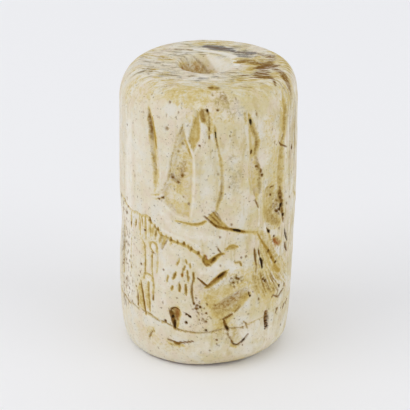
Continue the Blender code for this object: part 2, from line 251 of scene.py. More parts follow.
class Sheet:
    """A sheet of surface points: how deep each one is cut and which dirt it holds."""

    # How far each kind of dirt spreads for the width of its cut; clean is dirt rubbed off again. The bare
    # kind is pale shell, worn clean, and also laid as a painted highlight on lit bevels and ridges
    SPREAD = {"ochre": 1.5, "umber": 1.05, "soot": 0.9, "bare_and_highlight": 1.0, "rust": 1.1, "slate": 1.2}
    CLEAN_SPREAD = 1.0

    def __init__(self, across, up):
        self.across = across
        self.up = up
        self.pitch = np.where(np.abs(across) < FRONT_HALF, FRONT_STEP, REAR_STEP)
        self.depth = np.zeros_like(up)
        self.dirt = {name: np.zeros_like(up) for name in self.SPREAD}

    def window(self, path, reach):
        """The points near a path, as seen from its middle, so that a path may cross the back."""
        low, high = path.min(0), path.max(0)
        middle = (low[0] + high[0]) / 2
        aside = (self.across - middle + GIRTH / 2) % GIRTH - GIRTH / 2
        hit = np.abs(aside) < (high[0] - low[0]) / 2 + reach
        hit &= (self.up > low[1] - reach) & (self.up < high[1] + reach)
        return hit, aside[hit] + middle, self.up[hit]

    def near(self, points):
        """Points beside a stroke, their distance from it and its width beside them."""
        path = smooth_path(points)
        hit, x, z = self.window(path, path[:, 2].max())
        away = np.full(x.shape, FAR)
        width = np.zeros(x.shape)
        for start, end in zip(path[:-1], path[1:]):
            share, gap = share_along(x, z, start[:2], end[:2])
            closer = gap < away
            away = np.where(closer, gap, away)
            width = np.where(closer, start[2] + share * (end[2] - start[2]), width)
        return hit, away, width

    def lay(self, name, hit, cover):
        """Dirt never lies twice: the strongest of what is laid on a point stays."""
        self.dirt[name][hit] = np.maximum(self.dirt[name][hit], cover)

    def cut(self, *points, deep=0.5, nose=2.0, **dirts):
        """A tool cut through points of (across, up, width). Its depth is a share of its width."""
        hit, away, width = self.near(points)
        section = np.clip(1.0 - (2.0 * away / width.clip(LEAST)) ** nose, 0.0, 1.0)
        self.depth[hit] = np.maximum(self.depth[hit], deep * width * section)
        for name, strength in dirts.items():
            own = width * self.SPREAD.get(name, self.CLEAN_SPREAD)
            wide = np.maximum(own, 2.0 * self.pitch[hit])
            cover = strength * ease(DIRT_EDGE - 2.0 * away / wide) * (own / wide).clip(0.0, 1.0)
            if name == "clean":
                for dirt in self.dirt.values():
                    dirt[hit] *= 1.0 - cover
            else:
                self.lay(name, hit, cover)

    def nick(self, x0, z0, x1, z1, width, end=0.6, **dirts):
        """A short straight cut that is broadest halfway."""
        self.cut((x0, z0, 0.6 * width), ((x0 + x1) / 2, (z0 + z1) / 2, width), (x1, z1, end * width),
                 deep=0.6, **dirts)

    def smear(self, dirt, *strokes):
        """Dirt rubbed on, soft at its edges. A stroke is its strength, then (across, up, width) points."""
        for strength, *points in strokes:
            hit, away, width = self.near(points)
            self.lay(dirt, hit, strength * ease(DIRT_EDGE - 2.0 * away / width.clip(LEAST)))

    def spots(self, dirt, *marks):
        """Round spots of dirt. A spot is its strength, across, up and size."""
        for strength, across, up, size in marks:
            self.smear(dirt, (strength, (across, up - LEAST, size), (across, up + LEAST, size)))

    def pit(self, across, up, size, dark, tall=1.0):
        """A small natural hole in the shell, packed with brown dirt that is black in the darkest ones."""
        tip = max(0.0, tall - 1.0) * size / 2 + LEAST
        self.cut((across, up - tip, size), (across, up + tip, size), umber=min(1.0, 1.45 * dark),
                 soot=max(0.0, 2.0 * dark - 1.0))

    def pits(self, *holes):
        """Holes placed one by one. A hole is its across, up, size, darkness and, if not round, how tall."""
        for hole in holes:
            self.pit(*hole)

    def fibres(self, starts, ends, count, width, seed, bow=0.0, **dirts):
        """Fine uneven cuts side by side, from one pair of (across, up) points to another pair."""
        dice = random.Random(seed)
        starts, ends = np.array(starts, float), np.array(ends, float)
        for k in range(count):
            share = (k + dice.uniform(-0.35, 0.35)) / (count - 1)
            first = starts[0] + (starts[1] - starts[0]) * share
            last = ends[0] + (ends[1] - ends[0]) * share
            low, high = sorted((dice.uniform(0.0, 0.35), dice.uniform(0.6, 1.0)))
            first, last = first + (last - first) * low, first + (last - first) * high
            middle = (first + last) / 2 + (bow, 0.0)
            held = {name: strength * dice.uniform(0.4, 1.0) for name, strength in dirts.items()}
            self.cut((*first, 0.5 * width), (*middle, width), (*last, 0.5 * width), **held)

    def sink(self, *outline, depth, edge, ochre):
        """A sunk field inside an outline of (across, up) corners, with a sloping edge and a dusty floor."""
        corners = np.array(outline, float)
        hit, x, z = self.window(corners, 0.0)
        inside = np.zeros(x.shape, bool)
        away = np.full(x.shape, FAR)
        for (x0, z0), (x1, z1) in zip(corners, np.roll(corners, -1, 0)):
            inside ^= ((z0 > z) != (z1 > z)) & (x < (x1 - x0) * (z - z0) / ((z1 - z0) or 1 / FAR) + x0)
            away = np.minimum(away, share_along(x, z, (x0, z0), (x1, z1))[1])
        floor = np.where(inside, ease(away / edge), 0.0)
        self.depth[hit] += depth * floor
        self.lay("ochre", hit, ochre * floor)

    def rub(self, times):
        """Soften every edge, as long handling does."""
        for _ in range(times):
            level = self.depth
            beside = np.roll(level, 1, 1) + np.roll(level, -1, 1)
            padded = np.pad(level, ((1, 1), (0, 0)), mode="edge")
            self.depth = (beside + padded[:-2] + padded[2:]) / 8 + level / 2


# ---------------------------------------------------------------- the engraved frieze


def left_beast(wall):
    """The long tapering limb at the left and the sunk body beside it."""
    # The limb: one long groove, widest near its top
    wall.cut((-6.85, 29.8, 0.2), (-6.6, 29.0, 0.5), (-6.36, 27.8, 0.74), (-6.14, 26.5, 0.76),
             (-5.98, 25.2, 0.68), (-5.9, 24.0, 0.66), (-5.75, 22.8, 0.6), (-5.7, 21.6, 0.45),
             (-5.8, 20.7, 0.2), deep=0.42, ochre=0.5)
    # The sunk body, a fine line from it to the rim of the head, its sharp left edge and a nick
    wall.sink((-2.7, 29.0), (-3.05, 27.6), (-3.45, 26.4), (-3.8, 25.0), (-4.0, 23.6), (-4.4, 22.1),
              (-5.1, 20.9), (-4.9, 19.6), (-3.3, 18.4), (-1.7, 18.2), (-1.45, 20.0), (-1.35, 23.0),
              (-1.4, 25.2), (-1.85, 26.4), (-2.3, 27.8), depth=0.42, edge=0.42, ochre=0.3)
    wall.cut((-0.4, 32.2, 0.15), (-1.2, 31.4, 0.22), (-1.9, 30.3, 0.22), (-2.3, 29.5, 0.18), deep=0.4,
             ochre=0.4)
    wall.cut((-2.6, 28.8, 0.2), (-2.92, 27.9, 0.26), (-3.35, 26.9, 0.2), (-3.55, 25.9, 0.22),
             (-3.85, 25.0, 0.24), (-3.97, 24.2, 0.26), (-4.08, 23.2, 0.26), (-4.38, 22.2, 0.24),
             (-4.85, 21.2, 0.2), (-5.3, 20.6, 0.15), deep=0.55, umber=0.36, ochre=0.36)
    wall.cut((-2.5, 26.9, 0.2), (-2.15, 26.1, 0.34), (-1.75, 25.1, 0.2), deep=0.6, ochre=0.7, umber=0.2)
    # Two thin lines below the limb
    wall.cut((-6.3, 20.2, 0.12), (-5.5, 20.4, 0.2), (-4.5, 20.9, 0.12), deep=0.5, umber=0.22, ochre=0.5)
    wall.cut((-6.0, 19.85, 0.12), (-5.2, 20.0, 0.22), (-4.7, 20.4, 0.2), (-4.3, 20.85, 0.12), deep=0.5,
             umber=0.28, ochre=0.5)
    wall.smear(
        "umber",
        (0.5, (-6.8, 29.5, 0.25), (-6.68, 28.8, 0.5), (-6.5, 27.8, 0.55), (-6.38, 26.9, 0.5),
         (-6.28, 26.3, 0.3)),
        (0.66, (-6.62, 28.9, 0.22), (-6.45, 27.7, 0.26), (-6.32, 26.8, 0.22)),
        (0.7, (-5.85, 26.2, 0.3), (-5.75, 25.8, 0.2)),
        (0.34, (-6.38, 25.6, 0.3), (-6.15, 24.7, 0.4), (-5.95, 24.0, 0.4), (-5.85, 23.2, 0.45),
         (-5.8, 22.6, 0.3)),
        (0.55, (-5.95, 23.7, 0.16), (-5.55, 23.52, 0.2)),
        (0.6, (-2.68, 28.5, 0.14), (-2.98, 27.7, 0.24)),
        (0.36, (-2.6, 24.5, 0.8), (-2.8, 23.9, 0.9), (-2.75, 23.2, 0.8), (-3.2, 22.6, 1.1),
         (-3.6, 22.4, 0.9)),
        (0.5, (-3.85, 22.9, 0.5), (-3.6, 22.5, 0.7), (-3.1, 22.1, 0.6)),
    )
    wall.smear(
        "rust",
        (0.26, (-6.66, 28.9, 0.3), (-6.5, 27.7, 0.4), (-6.36, 26.8, 0.3)),
        (0.3, (-2.5, 24.5, 0.8), (-2.7, 23.7, 1.0), (-3.1, 22.6, 1.0)),
    )
    wall.smear(
        "ochre",
        (1.0, (-6.25, 28.8, 0.35), (-6.0, 27.4, 0.7), (-5.85, 26.3, 0.75), (-5.7, 25.6, 0.4)),
        (0.42, (-5.8, 25.4, 0.6), (-5.62, 24.2, 0.75), (-5.55, 22.8, 0.75), (-5.5, 21.4, 0.7)),
        (0.48, (-2.3, 25.2, 1.2), (-2.7, 23.8, 1.9), (-3.1, 22.2, 1.8), (-3.1, 21.0, 1.2)),
    )
    # Pale bare shell; the first stroke is a painted highlight down the limb's lit right bevel
    wall.smear(
        "bare_and_highlight",
        (0.35, (-5.3, 26.6, 0.3), (-5.2, 24.5, 0.35), (-5.1, 22.0, 0.3)),
        (0.6, (-1.9, 31.2, 0.6), (-1.5, 30.8, 0.9), (-0.8, 30.9, 0.8)),
        (0.4, (-4.2, 24.8, 0.25), (-4.35, 23.4, 0.3), (-4.7, 22.2, 0.3)),
    )
    wall.pits(
        (-3.85, 22.6, 0.4, 0.6), (-3.2, 22.15, 0.36, 0.65), (-2.75, 22.95, 0.36, 0.6),
        (-2.85, 23.5, 0.26, 0.5), (-3.3, 23.6, 0.26, 0.4), (-3.1, 24.4, 0.22, 0.4),
        (-2.5, 23.05, 0.22, 0.5), (-3.85, 22.5, 0.22, 0.4), (-3.2, 25.6, 0.34, 0.35),
        (-2.75, 26.5, 0.42, 0.35), (-4.85, 20.22, 0.32, 0.7), (-5.25, 20.0, 0.3, 0.65),
        (-2.6, 20.6, 0.32, 0.4), (-1.98, 19.85, 0.38, 0.5), (-3.95, 19.45, 0.28, 0.3),
        (-4.4, 30.72, 0.34, 0.5), (-3.0, 30.78, 0.26, 0.45), (-3.2, 28.4, 0.26, 0.4),
        (-4.4, 28.0, 0.6, 0.22), (-7.5, 29.0, 0.4, 0.25), (-4.5, 29.5, 0.3, 0.2),
    )


def middle_limb(wall):
    """The smooth upright limb in the middle, between a lit ridge and a fine curved line."""
    # A hairline at the left, and the leaf-shaped hollow above it
    wall.cut((-1.08, 24.8, 0.12), (-1.05, 22.4, 0.2), (-1.12, 20.4, 0.12), deep=0.4, umber=0.12)
    wall.sink((-1.3, 30.3), (-0.85, 30.0), (-0.72, 28.5), (-0.75, 27.2), (-1.1, 26.4), (-1.5, 25.4),
              (-1.9, 26.2), (-2.25, 27.0), (-2.05, 28.1), (-1.7, 29.2), depth=0.3, edge=0.28,
              ochre=0.66)
    # A short nick, and the long curved line that bounds the limb
    wall.cut((0.05, 29.5, 0.2), (0.05, 28.6, 0.34), (0.08, 27.3, 0.2), deep=0.6, umber=0.32, ochre=0.6)
    wall.cut((0.6, 28.9, 0.2), (0.68, 27.9, 0.34), (0.84, 27.0, 0.28), (1.03, 26.2, 0.26),
             (1.22, 25.4, 0.28), (1.36, 24.6, 0.32), (1.46, 23.6, 0.36), (1.5, 22.6, 0.4),
             (1.46, 21.6, 0.42), (1.36, 20.9, 0.46), (1.15, 20.2, 0.4), (0.95, 19.3, 0.25), deep=0.6,
             umber=0.2, ochre=0.5)
    # Pale bare shell; the first stroke is a painted highlight along the lit ridge at the limb's left
    wall.smear(
        "bare_and_highlight",
        (0.3, (-1.5, 25.7, 0.2), (-1.42, 24.0, 0.25), (-1.36, 22.0, 0.3), (-1.38, 20.2, 0.35),
         (-1.6, 18.6, 0.3)),
        (0.4, (-2.25, 26.7, 0.18), (-1.9, 25.9, 0.22)),
    )
    wall.smear(
        "umber",
        (0.32, (-1.55, 29.0, 0.16), (-1.85, 27.8, 0.22), (-2.0, 27.0, 0.24), (-1.65, 26.2, 0.2)),
        (0.55, (-0.75, 30.2, 0.55), (-0.6, 29.85, 0.8), (-0.55, 29.35, 0.7)),
        (0.45, (-0.6, 30.35, 0.35), (-0.2, 30.3, 0.4), (0.0, 29.7, 0.3), (0.05, 29.1, 0.4)),
        (0.55, (0.66, 28.2, 0.16), (0.76, 27.5, 0.22), (0.9, 26.7, 0.2), (1.05, 26.1, 0.14)),
        (0.42, (1.46, 22.4, 0.3), (1.44, 21.6, 0.36), (1.38, 20.9, 0.5), (1.22, 20.3, 0.35)),
    )
    wall.smear(
        "ochre",
        (0.72, (-1.3, 29.6, 0.3), (-1.45, 28.4, 0.5), (-1.6, 27.2, 0.6), (-1.55, 26.4, 0.4)),
        (0.6, (-1.2, 30.1, 0.5), (-1.1, 29.4, 0.6)),
        (0.8, (-0.8, 30.0, 0.9), (-0.55, 29.4, 1.0)),
        (0.6, (-0.4, 29.9, 1.4), (0.05, 29.2, 1.1), (0.1, 28.2, 0.7)),
    )
    wall.smear("slate", (0.3, (-1.55, 30.3, 0.35), (-1.15, 30.05, 0.4)))
    wall.smear("soot", (0.9, (0.68, 28.05, 0.18), (0.76, 27.5, 0.22)))
    wall.pits(
        (-0.18, 30.28, 0.36, 0.95), (0.05, 28.45, 0.24, 0.6, 1.8), (0.08, 27.55, 0.26, 0.6, 1.7),
        (-0.9, 26.6, 0.3, 0.75), (-0.35, 26.95, 0.26, 0.35), (0.9, 30.35, 0.32, 0.7),
        (-0.5, 19.4, 0.26, 0.4), (-0.95, 25.9, 0.2, 0.25), (1.25, 29.5, 0.26, 0.25),
        (1.0, 31.0, 0.26, 0.4), (3.0, 31.3, 0.24, 0.4), (0.35, 31.7, 0.3, 0.35),
    )


def right_limb(wall):
    """The sinuous limb right of the middle: a pale bevel with a brown cut beside it."""
    # The bevel, and the S-shaped groove beside it, cut in two strokes
    wall.sink((3.95, 30.0), (3.95, 28.5), (4.2, 26.8), (4.3, 24.8), (4.45, 22.8), (4.8, 21.0),
              (5.2, 19.7), (5.8, 20.8), (6.0, 22.4), (5.75, 24.0), (5.6, 25.4), (5.65, 26.6),
              (5.25, 27.8), (4.8, 29.2), (4.4, 30.1), depth=0.32, edge=0.5, ochre=0.36)
    wall.cut((4.2, 29.9, 0.15), (4.4, 29.2, 0.42), (4.6, 28.5, 0.48), (4.8, 27.9, 0.52),
             (5.08, 27.3, 0.54), (5.3, 26.7, 0.56), (5.28, 25.9, 0.46), (5.15, 25.2, 0.38), deep=0.5,
             ochre=0.66, umber=0.2)
    wall.cut((5.15, 25.4, 0.3), (5.25, 24.4, 0.42), (5.5, 23.6, 0.46), (5.7, 22.8, 0.46),
             (5.75, 22.0, 0.46), (5.65, 21.2, 0.4), (5.4, 20.3, 0.28), (5.35, 19.7, 0.12), deep=0.5,
             ochre=0.48, umber=0.08)
    # Fine strokes down the bevel
    wall.fibres(((4.3, 25.6), (5.1, 25.2)), ((4.6, 20.6), (5.7, 20.4)), count=8, width=0.2, seed=3,
                ochre=0.8, umber=0.3)
    wall.smear(
        "bare_and_highlight",
        (0.3, (3.95, 29.7, 0.25), (4.1, 27.6, 0.3), (4.25, 25.5, 0.26), (4.35, 23.4, 0.26),
         (4.7, 21.4, 0.22)),
    )
    wall.smear(
        "ochre",
        (0.5, (3.75, 29.9, 0.4), (3.85, 28.8, 0.5)),
        (0.45, (4.35, 28.6, 0.5), (4.6, 26.8, 0.8), (4.72, 25.3, 0.9), (4.75, 24.0, 0.8),
         (4.95, 22.4, 0.7)),
    )
    wall.smear("soot", (1.0, (4.42, 29.12, 0.32), (4.56, 28.65, 0.36)))
    wall.smear(
        "umber",
        (0.46, (4.9, 27.8, 0.25), (5.2, 27.0, 0.38), (5.28, 26.4, 0.42), (5.18, 25.6, 0.3),
         (5.12, 25.0, 0.2)),
        (0.42, (5.7, 22.3, 0.4), (5.8, 21.5, 0.5), (5.75, 20.8, 0.4)),
        (0.4, (5.3, 24.8, 0.3), (5.5, 24.0, 0.4), (5.75, 23.2, 0.4), (5.85, 22.4, 0.3)),
        (0.5, (5.12, 21.3, 0.2), (5.2, 20.6, 0.26)),
        (0.75, (5.2, 20.1, 0.24), (5.45, 19.6, 0.28), (5.6, 19.2, 0.18)),
    )
    # Handling has rubbed the bevel clean again in streaks
    wall.fibres(((4.3, 25.4), (5.0, 25.0)), ((4.7, 20.8), (5.5, 20.8)), count=5, width=0.24, seed=4,
                clean=0.7)
    wall.pits(
        (4.66, 25.5, 0.42, 0.75, 1.3), (5.4, 23.75, 0.28, 0.6, 1.4), (5.5, 23.4, 0.2, 0.5, 1.2),
        (5.9, 23.2, 0.24, 0.65, 2.0), (6.05, 22.7, 0.28, 0.75, 1.6), (5.85, 22.25, 0.2, 0.4, 1.2),
        (5.15, 29.6, 0.34, 0.5, 0.9), (7.0, 28.9, 0.26, 0.3), (2.9, 23.1, 0.2, 0.25),
    )


def far_beast(wall):
    """The limb and sunk body at the far right, dark with old dirt."""
    # The limb, and the broad shallow body that it runs down into
    wall.cut((9.3, 30.9, 0.2), (9.35, 29.7, 0.5), (9.35, 28.2, 0.58), (9.3, 26.6, 0.56),
             (9.1, 25.3, 0.5), deep=0.4, ochre=0.66, umber=0.08)
    wall.cut((8.9, 26.0, 0.5), (8.8, 24.2, 0.9), (8.75, 22.5, 1.0), (8.8, 21.0, 1.0), (9.0, 19.5, 0.8),
             (9.4, 17.8, 0.6), (9.7, 16.4, 0.3), deep=0.3, ochre=0.6, umber=0.26)
    wall.fibres(((8.0, 20.6), (8.8, 20.8)), ((8.5, 16.2), (9.6, 16.0)), count=5, width=0.2, seed=8,
                umber=0.8, soot=0.3)
    # A dark line across the foot of the limb
    wall.cut((8.35, 25.8, 0.18), (8.75, 25.4, 0.32), (9.2, 25.12, 0.28), (9.9, 24.75, 0.16), deep=0.5,
             umber=0.85)
    # The flank, sunk and scraped, with the layers of the shell open at the far right
    wall.sink((6.1, 20.9), (6.6, 21.6), (8.4, 21.2), (9.2, 19.4), (9.2, 17.2), (7.9, 15.7), (6.9, 15.4),
              (6.3, 17.0), (6.0, 18.9), depth=0.42, edge=0.8, ochre=0.4)
    wall.fibres(((6.4, 21.0), (8.3, 21.0)), ((6.8, 16.8), (9.0, 16.4)), count=8, width=0.18, seed=5,
                bow=0.2, ochre=0.6, umber=0.45)
    wall.fibres(((10.3, 31.4), (12.4, 31.4)), ((10.6, 19.0), (12.6, 19.0)), count=12, width=0.22,
                seed=7, umber=0.42, rust=0.2)
    wall.fibres(((8.5, 24.8), (9.2, 24.8)), ((8.4, 20.8), (9.3, 20.6)), count=4, width=0.2, seed=6,
                ochre=0.5, umber=0.35)
    wall.smear(
        "ochre",
        (0.42, (8.6, 30.0, 0.7), (8.7, 28.0, 0.9), (8.5, 26.2, 1.0)),
        (0.82, (9.15, 30.2, 0.7), (9.15, 28.6, 1.0), (9.1, 27.0, 1.0)),
        (0.4, (8.3, 26.0, 0.8), (8.2, 24.0, 1.0), (8.2, 22.4, 0.8)),
        (0.45, (6.25, 20.9, 0.3), (6.3, 19.6, 0.5), (6.4, 18.3, 0.6), (6.7, 17.2, 0.8)),
        (0.5, (7.4, 21.2, 1.4), (7.6, 19.6, 2.2), (7.6, 18.0, 2.0)),
        (0.62, (6.9, 18.4, 1.6), (7.7, 17.4, 2.2), (8.6, 16.4, 1.8)),
        (0.3, (7.0, 23.4, 1.0), (7.7, 22.2, 1.6), (8.0, 21.2, 1.4)),
        (0.66, (8.0, 14.7, 1.0), (8.6, 14.3, 1.4), (9.1, 14.0, 1.0)),
    )
    wall.smear(
        "umber",
        (0.36, (9.5, 29.8, 0.25), (9.52, 28.2, 0.35), (9.45, 26.8, 0.3)),
        (0.7, (9.0, 20.4, 0.25), (9.2, 19.4, 0.4), (9.45, 17.8, 0.4), (9.7, 16.2, 0.3)),
        (0.55, (8.95, 26.4, 0.3), (9.25, 26.2, 0.4), (9.2, 25.8, 0.3)),
        (0.5, (8.7, 20.1, 0.3), (9.0, 19.5, 0.45), (9.15, 18.8, 0.6), (9.15, 18.2, 0.7),
         (9.35, 17.4, 0.6), (9.6, 16.6, 0.5)),
        (0.28, (7.0, 20.8, 0.8), (7.6, 20.0, 1.4), (8.0, 19.2, 1.6), (7.8, 18.2, 1.6)),
        (0.27, (7.2, 18.0, 1.6), (7.9, 17.2, 2.0), (8.5, 16.5, 1.6)),
        (0.4, (7.8, 17.8, 0.6), (8.2, 17.0, 0.9), (8.6, 16.3, 0.6)),
        (0.4, (7.95, 14.75, 0.3), (8.1, 14.6, 0.35)),
    )
    # A pale ridge left of the flank, worn white and given a painted highlight
    wall.smear("bare_and_highlight", (0.5, (5.8, 21.0, 0.3), (5.8, 19.8, 0.45), (5.8, 18.2, 0.45), (5.75, 17.0, 0.3)))
    wall.smear(
        "rust",
        (0.12, (6.7, 20.0, 0.8), (7.0, 18.8, 1.0)),
        (0.58, (8.0, 14.6, 0.9), (8.5, 14.2, 1.2), (9.0, 14.0, 0.9)),
        (0.85, (7.95, 14.75, 0.4), (8.1, 14.5, 0.7), (8.35, 14.35, 0.5)),
        (0.75, (8.45, 14.25, 0.4), (8.75, 14.0, 0.5)),
    )
    wall.pits(
        (11.3, 24.2, 0.42, 0.8, 1.6), (11.0, 18.6, 0.34, 0.6), (7.55, 20.9, 0.44, 0.6),
        (7.65, 19.9, 0.4, 0.75), (7.8, 20.9, 0.3, 0.5), (7.3, 15.9, 0.44, 1.0), (7.15, 16.2, 0.26, 0.7),
        (9.0, 15.7, 0.34, 0.6), (10.35, 18.1, 0.4, 0.4), (9.9, 24.05, 0.24, 0.4), (8.1, 19.3, 0.3, 0.5),
        (8.3, 18.7, 0.26, 0.5), (7.9, 18.4, 0.26, 0.4), (8.95, 19.7, 0.4, 0.75),
        (9.15, 19.2, 0.46, 0.8), (9.32, 18.8, 0.4, 0.65), (9.3, 18.25, 0.7, 0.95),
        (9.05, 17.9, 0.5, 0.85), (8.7, 17.75, 0.46, 0.75), (8.9, 17.4, 0.3, 0.5),
        (9.55, 17.4, 0.34, 0.6), (9.68, 17.0, 0.5, 0.95), (9.72, 16.5, 0.36, 0.6),
        (8.1, 15.1, 0.34, 0.85),
    )


def shoulder_band(wall):
    """The broad slanting band below the far body, with fine grooves along it."""
    # The band, the grooves along it and the plainer ones at the far right
    wall.sink((5.6, 16.7), (6.7, 16.4), (7.8, 14.6), (9.0, 12.5), (10.2, 10.8), (9.5, 9.7), (8.2, 9.9),
              (7.2, 11.6), (6.3, 13.6), (5.8, 15.2), depth=0.26, edge=0.8, ochre=0.28)
    wall.fibres(((5.4, 16.6), (6.9, 16.4)), ((7.5, 10.8), (9.9, 10.8)), count=12, width=0.2, seed=11,
                bow=-0.15, ochre=0.9, umber=0.5)
    wall.fibres(((5.0, 12.4), (7.7, 11.2)), ((5.8, 8.4), (9.4, 8.3)), count=13, width=0.22, seed=12,
                bow=-0.1, ochre=0.85, umber=0.62)
    wall.fibres(((6.2, 10.2), (9.4, 10.6)), ((7.4, 7.6), (10.6, 8.6)), count=11, width=0.22, seed=13,
                ochre=0.8, umber=0.66)
    wall.fibres(((9.6, 15.5), (10.4, 15.0)), ((10.6, 11.0), (11.2, 11.0)), count=5, width=0.2, seed=14,
                umber=0.45, ochre=0.5)
    wall.fibres(((9.4, 12.4), (9.9, 9.4)), ((11.2, 10.2), (11.4, 7.4)), count=7, width=0.18, seed=15,
                umber=0.5, ochre=0.6)
    wall.smear(
        "ochre",
        (0.5, (5.9, 16.2, 0.8), (6.8, 15.0, 1.6), (7.6, 13.4, 1.9), (8.4, 11.9, 2.1), (9.0, 10.8, 2.2)),
        (0.72, (6.6, 14.2, 0.5), (7.3, 13.0, 0.7), (8.0, 11.8, 0.7), (8.5, 10.9, 0.6)),
        (0.5, (5.7, 16.5, 0.7), (6.1, 15.6, 0.9), (6.5, 14.7, 0.8)),
        (0.9, (8.6, 11.6, 0.6), (8.9, 11.0, 1.0), (9.3, 10.5, 0.9)),
        (0.45, (5.6, 16.4, 0.9), (6.1, 15.4, 1.2), (6.7, 14.2, 1.3)),
        (0.52, (5.5, 12.8, 0.8), (6.0, 11.0, 2.0), (6.7, 9.6, 2.8), (7.6, 8.2, 2.8)),
        (0.5, (7.0, 11.6, 1.0), (7.9, 10.0, 1.6), (9.2, 9.2, 1.4)),
        (0.6, (5.3, 11.0, 0.6), (5.7, 10.0, 0.8), (6.2, 9.0, 0.6)),
        (0.6, (7.0, 9.4, 0.6), (7.8, 8.8, 0.8), (8.4, 8.2, 0.6)),
    )
    wall.smear("umber", (0.22, (6.0, 16.0, 0.4), (6.6, 15.2, 0.7), (7.4, 14.0, 0.6), (8.2, 12.7, 0.4)))
    wall.smear("bare_and_highlight", (0.55, (5.5, 15.9, 0.25), (5.9, 14.9, 0.3), (6.6, 13.2, 0.25)))
    # Streaks that are rubbed clean, and finer ones that have filled again
    wall.fibres(((5.8, 16.4), (7.4, 15.6)), ((6.8, 11.0), (9.9, 11.2)), count=7, width=0.26, seed=16,
                bow=-0.15, clean=0.8)
    wall.fibres(((5.2, 12.8), (7.9, 11.4)), ((6.2, 8.2), (10.4, 8.1)), count=12, width=0.32, seed=17,
                bow=-0.1, clean=1.0)
    wall.fibres(((5.4, 12.2), (8.2, 11.0)), ((6.4, 8.0), (10.6, 8.4)), count=10, width=0.22, seed=18,
                bow=-0.1, umber=0.72, ochre=0.9)
    # The sharp line along the band, and the deep nicks left of it
    wall.cut((5.75, 16.0, 0.2), (6.5, 14.8, 0.3), (7.3, 13.8, 0.36), (8.0, 12.7, 0.38),
             (8.7, 11.6, 0.34), deep=0.5, ochre=1.0, umber=0.36)
    wall.cut((5.3, 14.5, 0.16), (5.45, 13.9, 0.32), (5.5, 13.2, 0.28), (5.7, 12.3, 0.16), deep=0.6,
             umber=0.9)
    wall.cut((5.83, 14.3, 0.18), (5.97, 13.8, 0.36), (6.05, 13.4, 0.18), deep=0.6, umber=0.9)
    wall.cut((6.15, 13.1, 0.24), (6.42, 12.6, 0.5), (6.48, 11.9, 0.24), deep=0.6, soot=1.0, umber=0.9)
    wall.cut((6.0, 13.0, 0.14), (5.98, 12.6, 0.18), (6.15, 12.1, 0.14), deep=0.5, umber=0.6)
    wall.cut((5.6, 12.5, 0.12), (5.65, 12.1, 0.2), (5.7, 11.8, 0.12), deep=0.5, umber=0.6)
    # Two gashes on the far right, then a bar below the band with a tick across it
    wall.cut((10.0, 15.3, 0.2), (10.35, 14.5, 0.45), (10.85, 13.6, 0.3), deep=0.5, slate=0.7, umber=0.4,
             soot=0.5)
    wall.cut((10.35, 13.5, 0.25), (10.6, 12.9, 0.5), (10.95, 12.3, 0.35), deep=0.5, umber=0.8, soot=0.5)
    wall.cut((8.3, 7.95, 0.2), (9.35, 7.35, 0.36), (9.9, 7.65, 0.36), (10.5, 7.9, 0.2), deep=0.4,
             umber=0.8)
    wall.cut((8.95, 8.6, 0.16), (9.2, 8.1, 0.26), (8.95, 7.6, 0.16), deep=0.5, umber=0.6)
    # Three short slanting nicks just below the border line
    for across, up in ((8.95, 5.5), (10.6, 5.35), (11.35, 5.5)):
        wall.cut((across, up, 0.2), (across + 0.25, up + 0.25, 0.34), (across + 0.45, up + 0.45, 0.2),
                 deep=0.5, umber=1.0)
    wall.smear("umber", (0.3, (6.4, 10.0, 0.5), (6.9, 10.2, 0.8), (7.3, 9.8, 0.6)))
    wall.smear("bare_and_highlight", (0.9, (6.14, 12.8, 0.24), (6.16, 12.45, 0.24)))
    wall.pits(
        (7.5, 13.5, 0.36, 0.75, 1.2), (8.08, 12.5, 0.34, 0.7, 1.2), (8.78, 11.7, 0.36, 0.8, 1.2),
        (6.72, 10.4, 0.42, 0.75), (7.05, 10.12, 0.46, 0.85, 0.9), (4.82, 9.3, 0.24, 0.8, 1.6),
        (4.98, 8.95, 0.28, 0.95, 1.2), (5.33, 9.32, 0.22, 0.7), (6.15, 8.2, 0.3, 0.65, 1.2),
        (7.65, 9.0, 0.28, 0.45, 1.3), (9.5, 8.6, 0.44, 0.95, 0.9), (8.15, 7.8, 0.24, 0.55),
        (10.7, 8.2, 0.5, 0.6), (9.1, 6.0, 0.34, 0.35), (10.1, 5.6, 0.3, 0.4),
        (10.5, 3.3, 0.34, 0.5, 0.8),
    )


